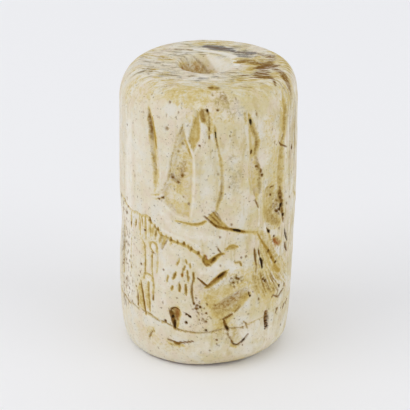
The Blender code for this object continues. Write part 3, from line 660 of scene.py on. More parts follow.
def clawed_foot(wall):
    """A paw of slanting claws that run together into the line of the leg."""
    wall.sink((-0.2, 18.6), (0.4, 19.2), (0.8, 19.4), (1.4, 18.6), (2.2, 17.7), (2.7, 17.1),
              (1.4, 17.3), (0.4, 18.0), depth=0.2, edge=0.25, ochre=0.75)
    claws = (
        ((-0.25, 18.75), (0.35, 18.15), (1.1, 17.45), 0.3, 0.75),
        ((0.15, 19.0), (0.75, 18.4), (1.5, 17.6), 0.28, 0.6),
        ((0.5, 19.35), (1.0, 18.7), (1.6, 17.9), 0.28, 0.5),
        ((0.75, 19.4), (1.15, 18.9), (1.5, 18.2), 0.26, 0.5),
    )
    for root, middle, tip, width, dark in claws:
        wall.cut((*root, 0.7 * width), (*middle, width), (*tip, 0.6 * width), deep=0.6, umber=dark)
    # The line of the leg, from under the claws to the band, and a fainter one left of the paw
    wall.cut((0.4, 18.1, 0.2), (1.0, 17.65, 0.28), (1.6, 17.4, 0.3), (2.3, 17.22, 0.32),
             (3.2, 16.95, 0.38), (4.1, 16.62, 0.3), deep=0.6, umber=0.6, ochre=0.9)
    wall.cut((4.0, 16.65, 0.3), (5.0, 16.4, 0.3), (5.7, 16.3, 0.3), deep=0.6, umber=0.1, ochre=0.75)
    wall.cut((-3.4, 17.9, 0.12), (-2.2, 17.8, 0.24), (-1.5, 17.72, 0.32), (-0.8, 17.8, 0.32),
             (-0.1, 18.2, 0.22), deep=0.55, umber=0.24, ochre=0.85)
    wall.smear(
        "soot",
        (1.0, (2.85, 17.05, 0.22), (3.3, 16.92, 0.42), (3.6, 16.8, 0.25)),
        (0.5, (0.1, 18.4, 0.12), (0.7, 17.85, 0.14), (1.3, 17.45, 0.14)),
    )
    wall.smear("ochre", (0.42, (4.2, 16.65, 0.7), (5.2, 16.35, 0.8), (5.7, 16.25, 0.8)))


def mane(wall):
    """The lion's mane: a scalloped edge with short locks that hang from it."""
    # The edge, along the back and then down the brow
    wall.cut((-12.4, 17.9, 0.3), (-10.6, 17.4, 0.3), (-9.3, 17.2, 0.3), (-8.4, 17.4, 0.34),
             (-7.7, 17.3, 0.3), (-6.95, 17.6, 0.3), (-6.5, 17.2, 0.3), (-5.9, 16.7, 0.3),
             (-5.3, 16.2, 0.3), deep=0.5, ochre=0.42, umber=0.06)
    wall.cut((-5.3, 16.2, 0.26), (-4.9, 15.85, 0.3), (-4.3, 15.75, 0.3), (-3.7, 15.55, 0.3),
             (-3.0, 15.35, 0.3), (-2.3, 15.2, 0.34), (-1.6, 14.9, 0.32), (-1.0, 14.5, 0.32),
             (-0.6, 14.1, 0.3), (-0.25, 13.6, 0.26), deep=0.55, ochre=0.7, umber=0.08)
    scallops = (
        (-5.75, 16.7, 0.26, 0.62), (-5.35, 16.5, 0.28, 0.7), (-4.95, 15.95, 0.26, 0.4),
        (-4.35, 15.85, 0.24, 0.4), (-3.8, 15.68, 0.32, 0.62), (-3.05, 15.5, 0.28, 0.58),
        (-2.35, 15.42, 0.4, 0.66), (-1.55, 14.9, 0.3, 0.55), (-1.85, 15.15, 0.22, 0.4),
        (-0.8, 14.5, 0.34, 0.68), (-6.42, 17.3, 0.32, 0.75), (-6.3, 17.05, 0.26, 0.5),
    )
    for across, up, size, dark in scallops:
        wall.cut((across, up + 0.2, 0.6 * size), (across - 0.04, up - 0.12, 1.2 * size), deep=0.5,
                 umber=dark, ochre=0.85)
    locks = (
        (-9.6, 17.0, -9.7, 15.2, 0.3, 0.1), (-8.62, 16.5, -8.85, 15.5, 0.28, 0.6),
        (-8.05, 17.3, -7.95, 15.0, 0.3, 0.2), (-7.65, 17.2, -7.55, 16.2, 0.24, 0.3),
        (-7.1, 17.5, -7.05, 14.8, 0.32, 0.22), (-5.6, 16.5, -5.7, 15.2, 0.28, 0.5),
        (-5.05, 15.9, -5.15, 14.9, 0.26, 0.3), (-6.4, 16.9, -6.35, 15.3, 0.26, 0.24),
        (-6.0, 16.7, -6.1, 15.5, 0.2, 0.2), (-3.7, 15.4, -3.85, 15.0, 0.18, 0.2),
    )
    for x0, z0, x1, z1, width, dark in locks:
        wall.nick(x0, z0, x1, z1, width, end=0.5, ochre=0.72, umber=dark)
        # A pale strip right of each lock: a painted highlight on its lit wall
        wall.smear("bare_and_highlight", (0.6, (x0 + 0.28, z0 - 0.2, 0.2), (x1 + 0.28, z1, 0.2)))
    # A hollow under the edge, with a line down its right side
    wall.sink((-5.05, 15.9), (-4.1, 15.8), (-4.3, 15.0), (-4.9, 14.0), (-5.15, 14.5), depth=0.25,
              edge=0.25, ochre=0.6)
    wall.cut((-4.15, 15.8, 0.15), (-4.45, 15.1, 0.26), (-4.9, 14.2, 0.15), deep=0.5, umber=0.6)
    tufts = (
        (-2.82, 13.5, -3.12, 12.75, 0.26, 0.45), (-2.12, 13.6, -2.02, 13.1, 0.26, 0.5),
        (-2.2, 12.85, -2.48, 12.1, 0.26, 0.62), (-2.45, 12.0, -2.5, 11.5, 0.3, 0.45),
        (-1.68, 13.2, -1.62, 12.6, 0.2, 0.42), (-1.95, 12.35, -1.85, 11.15, 0.26, 0.6),
        (-3.2, 11.95, -3.5, 11.1, 0.34, 0.58), (-4.08, 11.4, -4.25, 10.55, 0.22, 0.5),
        (-1.32, 12.2, -1.2, 11.1, 0.28, 0.75), (-2.8, 10.65, -2.75, 9.75, 0.34, 0.6),
        (-2.1, 10.7, -2.05, 9.45, 0.3, 0.6), (-3.55, 10.25, -3.68, 9.7, 0.28, 0.55),
    )
    for x0, z0, x1, z1, width, dark in tufts:
        wall.nick(x0, z0, x1, z1, width, umber=dark, ochre=0.85)
    # The line of the throat
    wall.cut((-1.28, 11.3, 0.2), (-1.42, 10.7, 0.28), (-1.42, 9.8, 0.3), (-1.34, 9.0, 0.28),
             (-1.24, 8.5, 0.18), deep=0.6, umber=0.7, ochre=0.5)
    # A pale band above the edge: a painted highlight on a raised ridge
    wall.smear(
        "bare_and_highlight",
        (0.55, (-4.9, 16.6, 0.4), (-3.9, 16.3, 0.5), (-2.8, 16.0, 0.5), (-1.6, 15.7, 0.5),
         (-0.6, 15.0, 0.4)),
    )
    wall.smear("umber", (0.4, (-4.95, 15.8, 0.2), (-5.0, 15.4, 0.2)))
    wall.smear("rust", (0.7, (-2.45, 11.9, 0.25), (-2.5, 11.6, 0.3)))
    wall.pits(
        (-7.22, 15.75, 0.32, 0.7), (-2.95, 14.0, 0.24, 0.4), (-4.65, 11.9, 0.3, 0.55),
        (-4.4, 9.2, 0.26, 0.4), (-1.2, 8.6, 0.26, 0.7), (-0.95, 8.1, 0.3, 0.5), (-0.75, 7.9, 0.24, 0.5),
        (-1.0, 9.2, 0.22, 0.4), (-0.6, 8.6, 0.22, 0.45),
        (-0.85, 7.5, 0.26, 0.5), (-0.6, 7.2, 0.22, 0.4), (-1.1, 7.9, 0.26, 0.45),
        (-0.35, 7.7, 0.2, 0.5), (-0.7, 8.35, 0.2, 0.5), (-4.2, 10.7, 0.26, 0.45),
    )


def open_jaws(wall):
    """The open jaws: two broad V cuts, one above the other, and the cheek below."""
    # The upper jaw and the nick above it
    wall.cut((-0.15, 14.25, 0.2), (-0.15, 13.65, 0.55), (0.15, 13.4, 0.64), (0.6, 13.55, 0.6),
             (1.0, 13.95, 0.46), (1.45, 14.3, 0.38), (1.85, 14.4, 0.2), deep=0.6, ochre=1.0, umber=0.1)
    wall.cut((1.12, 15.3, 0.12), (1.3, 14.85, 0.26), (1.55, 14.5, 0.25), deep=0.6, umber=0.8)
    # Two short lines before the muzzle
    wall.cut((2.1, 14.95, 0.2), (2.65, 15.15, 0.42), (3.3, 15.1, 0.2), deep=0.5, ochre=0.8, umber=0.16)
    wall.cut((2.0, 14.8, 0.15), (2.7, 14.88, 0.22), (3.3, 15.0, 0.16), deep=0.5, ochre=0.7, umber=0.45)
    # The lower jaw
    wall.cut((-0.85, 11.55, 0.2), (-0.35, 11.1, 0.3), (0.1, 10.7, 0.3), deep=0.6, umber=0.95)
    wall.cut((0.0, 10.45, 0.25), (0.45, 10.75, 0.42), (1.0, 11.22, 0.58), (1.6, 11.75, 0.64),
             (1.98, 12.08, 0.58), (2.1, 12.2, 0.4), deep=0.55, umber=0.5, ochre=0.95)
    # The cheek, sunk and finely hatched, two nicks along its lower edge, and one between the jaws
    wall.sink((0.7, 8.4), (1.5, 9.0), (2.7, 9.6), (4.2, 10.2), (5.0, 9.9), (4.6, 8.7), (3.8, 7.7),
              (2.9, 7.0), (2.0, 6.7), (1.4, 7.3), (0.8, 7.8), depth=0.3, edge=0.7, ochre=0.45)
    wall.fibres(((1.0, 8.7), (4.8, 10.2)), ((1.9, 7.2), (4.6, 8.8)), count=15, width=0.16, seed=31,
                umber=0.5, ochre=0.7)
    wall.cut((1.95, 6.62, 0.25), (2.5, 6.85, 0.34), (2.95, 7.1, 0.25), deep=0.6, umber=0.95)
    wall.cut((3.2, 7.25, 0.2), (3.55, 7.6, 0.3), (3.85, 8.0, 0.2), deep=0.5, umber=0.6, ochre=0.7)
    wall.cut((3.1, 13.22, 0.18), (3.6, 13.2, 0.28), (3.85, 12.8, 0.2), deep=0.5, umber=0.6, ochre=0.75)
    wall.smear(
        "umber",
        (0.75, (-0.1, 14.2, 0.2), (-0.3, 13.6, 0.24), (0.0, 13.1, 0.18), (0.5, 13.15, 0.18)),
        (0.8, (0.55, 13.35, 0.35), (0.9, 13.8, 0.5)),
        (0.6, (1.1, 14.05, 0.3), (1.45, 14.3, 0.34), (1.75, 14.3, 0.25)),
        (0.33, (1.1, 7.9, 1.2), (2.3, 8.0, 2.6), (3.2, 8.8, 2.4), (4.5, 9.7, 1.2)),
        (0.4, (1.7, 8.3, 0.8), (2.5, 8.6, 1.3), (3.4, 9.3, 1.1)),
        (0.14, (0.9, 8.6, 1.4), (1.6, 7.6, 1.8), (2.4, 7.4, 1.4)),
        (0.16, (1.2, 9.4, 0.8), (2.4, 9.9, 0.8), (3.8, 10.2, 0.7)),
    )
    wall.smear(
        "rust",
        (0.7, (0.0, 14.2, 0.34), (0.1, 13.7, 0.36)),
        (0.6, (0.4, 10.85, 0.4), (1.2, 11.45, 0.5), (1.9, 12.0, 0.5)),
        (0.34, (1.2, 8.2, 1.1), (2.3, 8.4, 2.2), (3.5, 9.2, 1.8)),
    )
    wall.smear(
        "soot",
        (0.7, (0.75, 13.55, 0.2), (0.95, 13.85, 0.3)),
        (0.66, (1.35, 11.55, 0.26), (1.7, 11.85, 0.46), (1.95, 12.05, 0.36)),
        (0.4, (0.05, 10.5, 0.16), (0.4, 10.7, 0.2)),
    )
    wall.smear(
        "ochre",
        (0.8, (2.1, 12.3, 0.3), (2.45, 12.5, 0.25)),
        (0.62, (0.3, 9.3, 1.6), (1.1, 8.2, 2.2), (1.9, 7.1, 2.6), (1.8, 5.9, 2.2)),
        (0.5, (0.6, 9.8, 1.2), (2.2, 10.2, 2.0), (3.8, 10.7, 2.2), (5.2, 10.3, 1.6)),
        (0.34, (2.2, 11.6, 1.0), (3.6, 11.8, 1.6), (4.8, 11.8, 1.2)),
        (0.3, (2.9, 6.0, 1.0), (3.3, 4.8, 1.4), (3.6, 3.6, 1.4)),
        (0.7, (3.1, 7.5, 0.6), (3.9, 8.3, 0.9), (4.6, 9.1, 1.3)),
    )
    wall.smear("slate", (0.32, (2.5, 10.9, 1.0), (3.2, 11.2, 1.3), (3.9, 11.2, 0.9)))
    wall.pits(
        (2.75, 11.4, 0.34, 0.5), (3.35, 11.35, 0.38, 0.65), (3.62, 11.2, 0.34, 0.7),
        (3.0, 10.85, 0.34, 0.65), (3.1, 10.4, 0.32, 0.55), (2.55, 11.1, 0.24, 0.4),
        (3.5, 10.8, 0.26, 0.5), (3.9, 10.9, 0.24, 0.4), (2.7, 10.6, 0.24, 0.4), (3.95, 11.4, 0.22, 0.4),
        (3.3, 11.7, 0.24, 0.4), (3.8, 13.7, 0.28, 0.55), (4.4, 13.8, 0.24, 0.5), (1.1, 8.3, 0.32, 0.5),
        (4.7, 10.6, 0.24, 0.4), (0.2, 8.5, 0.28, 0.65), (0.15, 7.4, 0.3, 0.65), (-0.1, 8.0, 0.24, 0.5),
        (-0.95, 9.15, 0.28, 0.6), (-1.2, 8.45, 0.3, 0.7), (-0.6, 8.8, 0.24, 0.5),
        (-0.9, 7.85, 0.34, 0.65), (-0.5, 8.1, 0.38, 0.75), (-0.7, 7.4, 0.28, 0.55),
        (-0.2, 6.7, 0.3, 0.6), (-0.6, 6.6, 0.26, 0.5), (0.5, 7.0, 0.22, 0.4), (-0.85, 8.3, 0.3, 0.65),
        (-1.3, 7.8, 0.24, 0.5), (-0.85, 7.0, 0.26, 0.5), (-0.3, 7.3, 0.24, 0.5), (0.15, 6.4, 0.34, 0.6),
    )


def thin_legs(wall):
    """The thin standing legs at the left, with a drilled ring at each joint."""
    def joint(across, up, wide, tall, start, sweep):
        """The ring that a tube drill left, open for part of its turn."""
        turns = [math.radians(start + sweep * step / 9) for step in range(10)]
        wall.cut(*[(across + wide * math.cos(turn), up + tall * math.sin(turn), 0.22) for turn in turns],
                 deep=0.6, ochre=0.72, umber=0.3)
        wall.smear("bare_and_highlight", (0.7, (across, up - 0.1, wide * 1.2), (across, up + 0.1, wide * 1.2)))

    joint(-5.95, 14.2, wide=0.46, tall=0.55, start=-40.0, sweep=300.0)
    joint(-6.6, 10.3, wide=0.62, tall=0.52, start=-10.0, sweep=205.0)
    leg_lines = (
        (0.0, 0.42, (-5.42, 13.9, 0.2), (-5.42, 12.6, 0.28), (-5.48, 11.2, 0.15)),
        (0.42, 0.7, (-6.12, 13.4, 0.2), (-6.18, 12.4, 0.28), (-6.12, 11.5, 0.24), (-6.02, 10.6, 0.22)),
        (0.4, 0.7, (-5.95, 10.6, 0.16), (-5.86, 9.6, 0.22), (-5.9, 8.6, 0.22), (-5.9, 7.8, 0.16)),
        (0.42, 0.7, (-7.5, 14.5, 0.12), (-7.22, 14.0, 0.22), (-7.14, 12.8, 0.26), (-7.1, 11.6, 0.26),
         (-7.15, 10.6, 0.22), (-7.3, 10.1, 0.16)),
        (0.68, 0.9, (-7.7, 9.6, 0.16), (-7.55, 8.6, 0.28), (-7.3, 7.3, 0.34), (-6.98, 5.9, 0.22)),
        (0.7, 0.6, (-8.35, 8.2, 0.2), (-8.3, 7.3, 0.36), (-8.2, 6.4, 0.26)),
        (0.4, 0.75, (-6.55, 9.9, 0.2), (-6.58, 8.8, 0.26), (-6.5, 7.6, 0.28), (-6.36, 6.4, 0.2)),
        (0.15, 0.4, (-9.6, 14.6, 0.2), (-9.7, 11.9, 0.28), (-9.5, 9.4, 0.2)),
        (0.35, 0.5, (-11.6, 15.4, 0.25), (-11.9, 12.4, 0.4), (-11.7, 8.9, 0.3)),
    )
    for dark, gold, *line in leg_lines:
        wall.cut(*line, deep=0.55, ochre=gold, umber=dark)
    wall.fibres(((-8.6, 9.6), (-6.3, 9.4)), ((-8.4, 6.4), (-6.2, 6.4)), count=8, width=0.14, seed=41,
                ochre=0.5, umber=0.25)
    wall.smear(
        "ochre",
        (0.7, (-5.6, 14.8, 0.3), (-5.45, 14.3, 0.3), (-5.5, 13.9, 0.25)),
        (0.58, (-7.9, 9.2, 0.6), (-7.75, 7.8, 1.0), (-7.5, 6.5, 1.0)),
        (0.45, (-6.85, 9.4, 0.5), (-6.8, 8.0, 0.6), (-6.7, 6.8, 0.5)),
    )
    wall.smear(
        "umber",
        (0.7, (-6.2, 13.55, 0.2), (-5.85, 13.55, 0.26)),
        (0.8, (-5.92, 8.5, 0.2), (-5.92, 7.9, 0.26)),
    )
    wall.smear(
        "bare_and_highlight",
        (0.5, (-6.65, 13.6, 0.4), (-6.68, 12.2, 0.45), (-6.6, 11.4, 0.35)),
        (0.45, (-5.15, 13.2, 0.25), (-5.2, 11.4, 0.3), (-5.5, 9.6, 0.3)),
    )
    wall.pits(
        (-7.75, 11.6, 0.34, 0.65), (-8.05, 12.9, 0.28, 0.4), (-9.2, 12.0, 0.26, 0.4),
        (-8.6, 10.9, 0.26, 0.4), (-8.05, 10.1, 0.26, 0.5), (-7.95, 9.1, 0.28, 0.5),
        (-8.55, 8.6, 0.26, 0.5), (-9.3, 7.7, 0.3, 0.45), (-9.3, 6.5, 0.3, 0.5), (-9.4, 11.1, 0.26, 0.4),
        (-12.9, 17.5, 0.8, 0.8), (-9.2, 9.0, 0.26, 0.35), (-9.9, 8.3, 0.3, 0.45),
        (-10.2, 10.2, 0.3, 0.45), (-9.8, 4.0, 0.3, 0.4),
    )


def ground_line(wall):
    """The border below the frieze, and the drilled and wheel-cut marks that cross it."""
    # The line itself: thin and uneven at the front, broad and even round the back
    wall.cut((-GIRTH / 2, 6.4, 0.36), (-20.0, 6.4, 0.36), (-13.5, 6.22, 0.34), (-12.0, 6.2, 0.22),
             (-9.0, 6.12, 0.22), (-7.2, 6.1, 0.22), (-6.3, 6.02, 0.22), (-5.5, 5.76, 0.23),
             (-4.5, 5.6, 0.22), (-3.5, 5.38, 0.22), (-2.8, 5.1, 0.23), (-1.0, 5.0, 0.23),
             (0.4, 5.08, 0.25), (1.3, 5.32, 0.25), (2.6, 5.45, 0.23), (4.2, 5.28, 0.22), deep=0.6,
             umber=0.62, ochre=0.5)
    wall.cut((4.2, 5.28, 0.22), (5.4, 5.6, 0.2), (6.8, 5.8, 0.2), (7.4, 5.85, 0.2), deep=0.6,
             umber=0.36, ochre=0.5)
    wall.cut((7.4, 5.85, 0.2), (10.0, 6.2, 0.2), (13.0, 6.35, 0.26), deep=0.6, umber=0.12, ochre=0.3)
    wall.cut((13.0, 6.35, 0.26), (16.0, 6.4, 0.36), (GIRTH / 2, 6.4, 0.36), deep=0.6, umber=0.62,
             ochre=0.5)
    # The drilled hoof and the leg cut that runs down from it
    wall.cut((-3.22, 7.15, 1.3), (-3.2, 7.0, 1.25), deep=0.36, nose=3.0, ochre=0.7)
    wall.cut((-3.26, 6.6, 0.85), (-3.26, 5.9, 0.66), (-3.25, 5.1, 0.2), deep=0.42, umber=0.5, ochre=0.6)
    # The wheel-cut slot, blacker towards its foot
    wall.cut((7.3, 6.25, 0.6), (7.4, 5.4, 0.86), (7.5, 4.3, 0.6), deep=0.4, nose=3.0, umber=0.62,
             rust=0.45)
    for up in (5.9, 5.4, 4.95, 4.6, 4.25):
        wall.smear("soot", (0.45 + 0.35 * (5.9 - up), (7.12, up - 0.05, 0.2), (7.7, up + 0.12, 0.24)))
    # Gashes that cross the line or lie below it
    wall.cut((2.05, 6.6, 0.25), (2.15, 6.1, 0.34), (2.35, 5.6, 0.5), (2.55, 5.2, 0.36), deep=0.55,
             umber=0.9)
    wall.cut((2.95, 3.95, 0.26), (3.1, 3.55, 0.32), (3.35, 3.32, 0.36), (3.7, 3.28, 0.32),
             (4.15, 3.55, 0.36), (4.5, 3.85, 0.32), (4.9, 4.3, 0.24), deep=0.5, umber=0.75)
    wall.cut((4.3, 6.0, 0.15), (4.6, 5.65, 0.3), (4.78, 5.1, 0.2), deep=0.5, umber=0.65, ochre=0.5)
    wall.cut((4.78, 5.1, 0.12), (4.85, 4.6, 0.14), deep=0.5, umber=0.4)
    wall.cut((-6.6, 2.9, 0.16), (-6.5, 3.35, 0.32), (-6.2, 3.85, 0.26), (-5.8, 4.25, 0.16), deep=0.5,
             umber=0.7, ochre=0.5)
    wall.cut((-4.05, 3.58, 0.2), (-3.2, 3.48, 0.26), (-2.5, 3.48, 0.34), (-1.9, 3.66, 0.34),
             (-1.25, 3.88, 0.26), deep=0.45, umber=0.9)
    wall.smear(
        "umber",
        (0.2, (-3.22, 7.12, 0.9), (-3.2, 7.02, 0.9)),
        (0.95, (-3.82, 6.8, 0.26), (-3.76, 7.3, 0.34), (-3.3, 7.66, 0.38), (-2.8, 7.4, 0.26)),
        (0.95, (-3.66, 6.9, 0.4), (-3.55, 6.3, 0.5), (-3.36, 5.85, 0.55), (-3.28, 5.3, 0.4)),
        (0.42, (2.4, 5.0, 0.35), (2.6, 4.5, 0.35), (2.85, 4.1, 0.26)),
        (0.5, (-3.7, 3.05, 0.25), (-3.1, 3.2, 0.3), (-2.7, 3.15, 0.2)),
        (0.45, (-0.2, 6.6, 0.5), (0.15, 6.3, 0.5)),
    )
    wall.smear("rust", (0.6, (-3.2, 7.2, 0.95), (-3.05, 6.4, 0.7)))
    wall.smear(
        "soot",
        (0.5, (-3.76, 6.9, 0.16), (-3.68, 7.35, 0.2), (-3.25, 7.66, 0.24)),
        (0.8, (-3.56, 6.6, 0.34), (-3.54, 6.45, 0.34)),
        (0.8, (-3.36, 6.0, 0.34), (-3.32, 5.7, 0.42), (-3.26, 5.35, 0.3)),
        (0.8, (2.3, 5.65, 0.25), (2.5, 5.35, 0.42)),
        (0.6, (3.15, 3.5, 0.24), (3.4, 3.3, 0.26), (3.75, 3.28, 0.2)),
        (0.8, (4.1, 3.5, 0.26), (4.4, 3.75, 0.34), (4.6, 3.95, 0.24)),
    )
    wall.smear(
        "ochre",
        (0.8, (-2.85, 6.7, 0.4), (-2.85, 6.0, 0.4), (-2.95, 5.5, 0.3)),
        (0.6, (2.9, 3.4, 0.5), (3.5, 3.1, 0.6)),
        (0.5, (-6.9, 3.6, 0.7), (-6.4, 4.2, 0.8), (-5.8, 4.4, 0.5)),
        (0.65, (-3.9, 3.1, 0.5), (-3.1, 3.1, 0.8), (-2.3, 3.2, 0.5)),
    )
    wall.smear("bare_and_highlight", (0.6, (-2.45, 7.3, 0.2), (-2.5, 6.6, 0.22), (-2.65, 6.0, 0.2)))
    wall.pits(
        (2.55, 4.75, 0.26, 0.6), (2.75, 4.3, 0.24, 0.6), (-4.38, 5.85, 0.4, 0.75),
        (-2.0, 7.12, 0.34, 0.9), (-1.75, 7.0, 0.3, 0.8), (-1.55, 6.85, 0.34, 0.95),
        (-2.0, 6.12, 0.42, 0.85), (0.16, 5.32, 0.38, 0.95), (2.55, 4.65, 0.24, 0.6),
        (1.32, 4.15, 0.28, 0.65), (1.35, 3.6, 0.28, 0.5), (4.25, 3.12, 0.24, 0.65),
        (-3.6, 2.72, 0.26, 0.5), (0.62, 2.75, 0.34, 0.4), (0.1, 6.4, 0.3, 0.5), (0.25, 6.7, 0.24, 0.4),
        (-0.3, 6.5, 0.24, 0.4), (4.25, 5.3, 0.28, 0.6), (4.9, 6.7, 0.36, 0.35), (1.6, 3.4, 0.3, 0.35),
        (-4.0, 7.4, 0.24, 0.4), (-5.5, 2.0, 0.3, 0.5), (-0.45, 6.15, 0.22, 0.4),
    )


def washes(wall):
    """Broad faint tints that years of burial and handling have left on the front, and a painted contact
    shadow along the foot.
    """
    # The first stroke is a painted contact shadow: a dark line round the foot where it stands on the floor
    wall.smear(
        "umber",
        (0.7, (-9.0, 0.0, 0.2), (-4.0, 0.05, 0.6), (1.0, 0.05, 0.7), (6.0, 0.05, 0.6),
         (11.0, 0.0, 0.2)),
        (0.22, (-0.2, 10.4, 1.6), (1.2, 10.4, 2.0), (2.8, 11.2, 2.4)),
        (0.22, (1.8, 4.8, 1.8), (2.6, 4.6, 2.4), (3.4, 4.6, 2.0)),
        (0.42, (1.3, 31.7, 0.5), (1.7, 31.4, 0.8), (1.9, 31.1, 0.6)),
    )
    wall.smear(
        "ochre",
        (0.26, (-1.6, 29.4, 2.0), (0.4, 29.8, 2.4), (2.2, 29.6, 2.0)),
        (0.3, (-5.0, 32.6, 1.6), (-1.5, 32.9, 2.0), (1.5, 32.4, 2.4), (5.0, 32.4, 1.6)),
        (0.42, (-4.4, 31.4, 1.6), (-2.4, 31.2, 2.2), (-0.4, 31.5, 2.2), (1.8, 31.2, 2.2)),
        (0.2, (-8.0, 3.4, 2.4), (-5.0, 2.8, 3.0), (-2.4, 2.8, 2.4)),
        (0.22, (-8.0, 16.6, 1.6), (-7.0, 16.2, 2.0), (-5.4, 15.6, 1.8)),
        (0.24, (-2.8, 26.6, 2.4), (-2.8, 22.6, 2.6), (-3.4, 19.8, 2.2)),
        (0.16, (2.6, 27.6, 2.0), (2.8, 24.6, 2.4), (3.4, 19.4, 2.0)),
        (0.26, (6.6, 29.0, 2.0), (7.0, 27.0, 2.6), (7.6, 23.6, 2.6)),
        (0.3, (-0.2, 9.4, 2.0), (0.6, 8.2, 2.4), (2.0, 6.6, 3.0), (2.2, 5.2, 2.0)),
        (0.26, (6.4, 12.0, 2.6), (7.4, 8.4, 3.2), (8.4, 7.2, 2.4)),
        (0.22, (-7.2, 16.0, 2.4), (-7.0, 12.0, 2.0), (-7.2, 8.0, 2.4)),
    )
    wall.smear(
        "bare_and_highlight",
        (0.5, (-4.9, 18.6, 1.2), (-3.6, 17.2, 1.5), (-2.0, 16.6, 1.5), (0.4, 16.2, 1.4)),
        (0.4, (-8.0, 27.0, 2.4), (-8.0, 22.0, 2.6)),
        (0.45, (-4.4, 13.6, 1.2), (-4.6, 10.6, 1.4), (-4.6, 8.2, 1.4)),
        (0.45, (-3.6, 14.4, 1.0), (-2.4, 14.2, 1.2), (-0.4, 12.4, 1.0), (1.8, 13.2, 1.2),
         (3.4, 12.4, 1.0)),
        (0.3, (-0.1, 25.2, 1.2), (0.1, 22.0, 1.6), (-0.2, 19.6, 1.2)),
        (0.5, (4.2, 4.6, 1.4), (6.0, 4.0, 2.0), (9.0, 3.4, 2.6)),
        (0.45, (5.0, 2.2, 1.8), (8.0, 2.0, 2.4), (11.0, 2.6, 2.4)),
        (0.3, (5.6, 30.8, 1.6), (6.6, 30.0, 2.0)),
        (0.4, (-1.8, 2.4, 1.4), (0.6, 2.8, 1.8), (2.2, 2.2, 1.4)),
        (0.6, (-9.9, 27.0, 1.6), (-10.1, 20.0, 2.4), (-10.1, 13.0, 2.4), (-9.9, 7.5, 1.8)),
    )
    wall.smear(
        "slate",
        (0.25, (0.6, 31.4, 1.8), (2.2, 30.8, 2.6), (3.4, 29.8, 2.2)),
        (0.24, (2.4, 25.0, 1.6), (2.9, 23.4, 2.2), (2.7, 21.6, 1.8)),
    )
    wall.smear("rust", (0.2, (1.3, 31.7, 0.6), (1.8, 31.4, 0.9)))


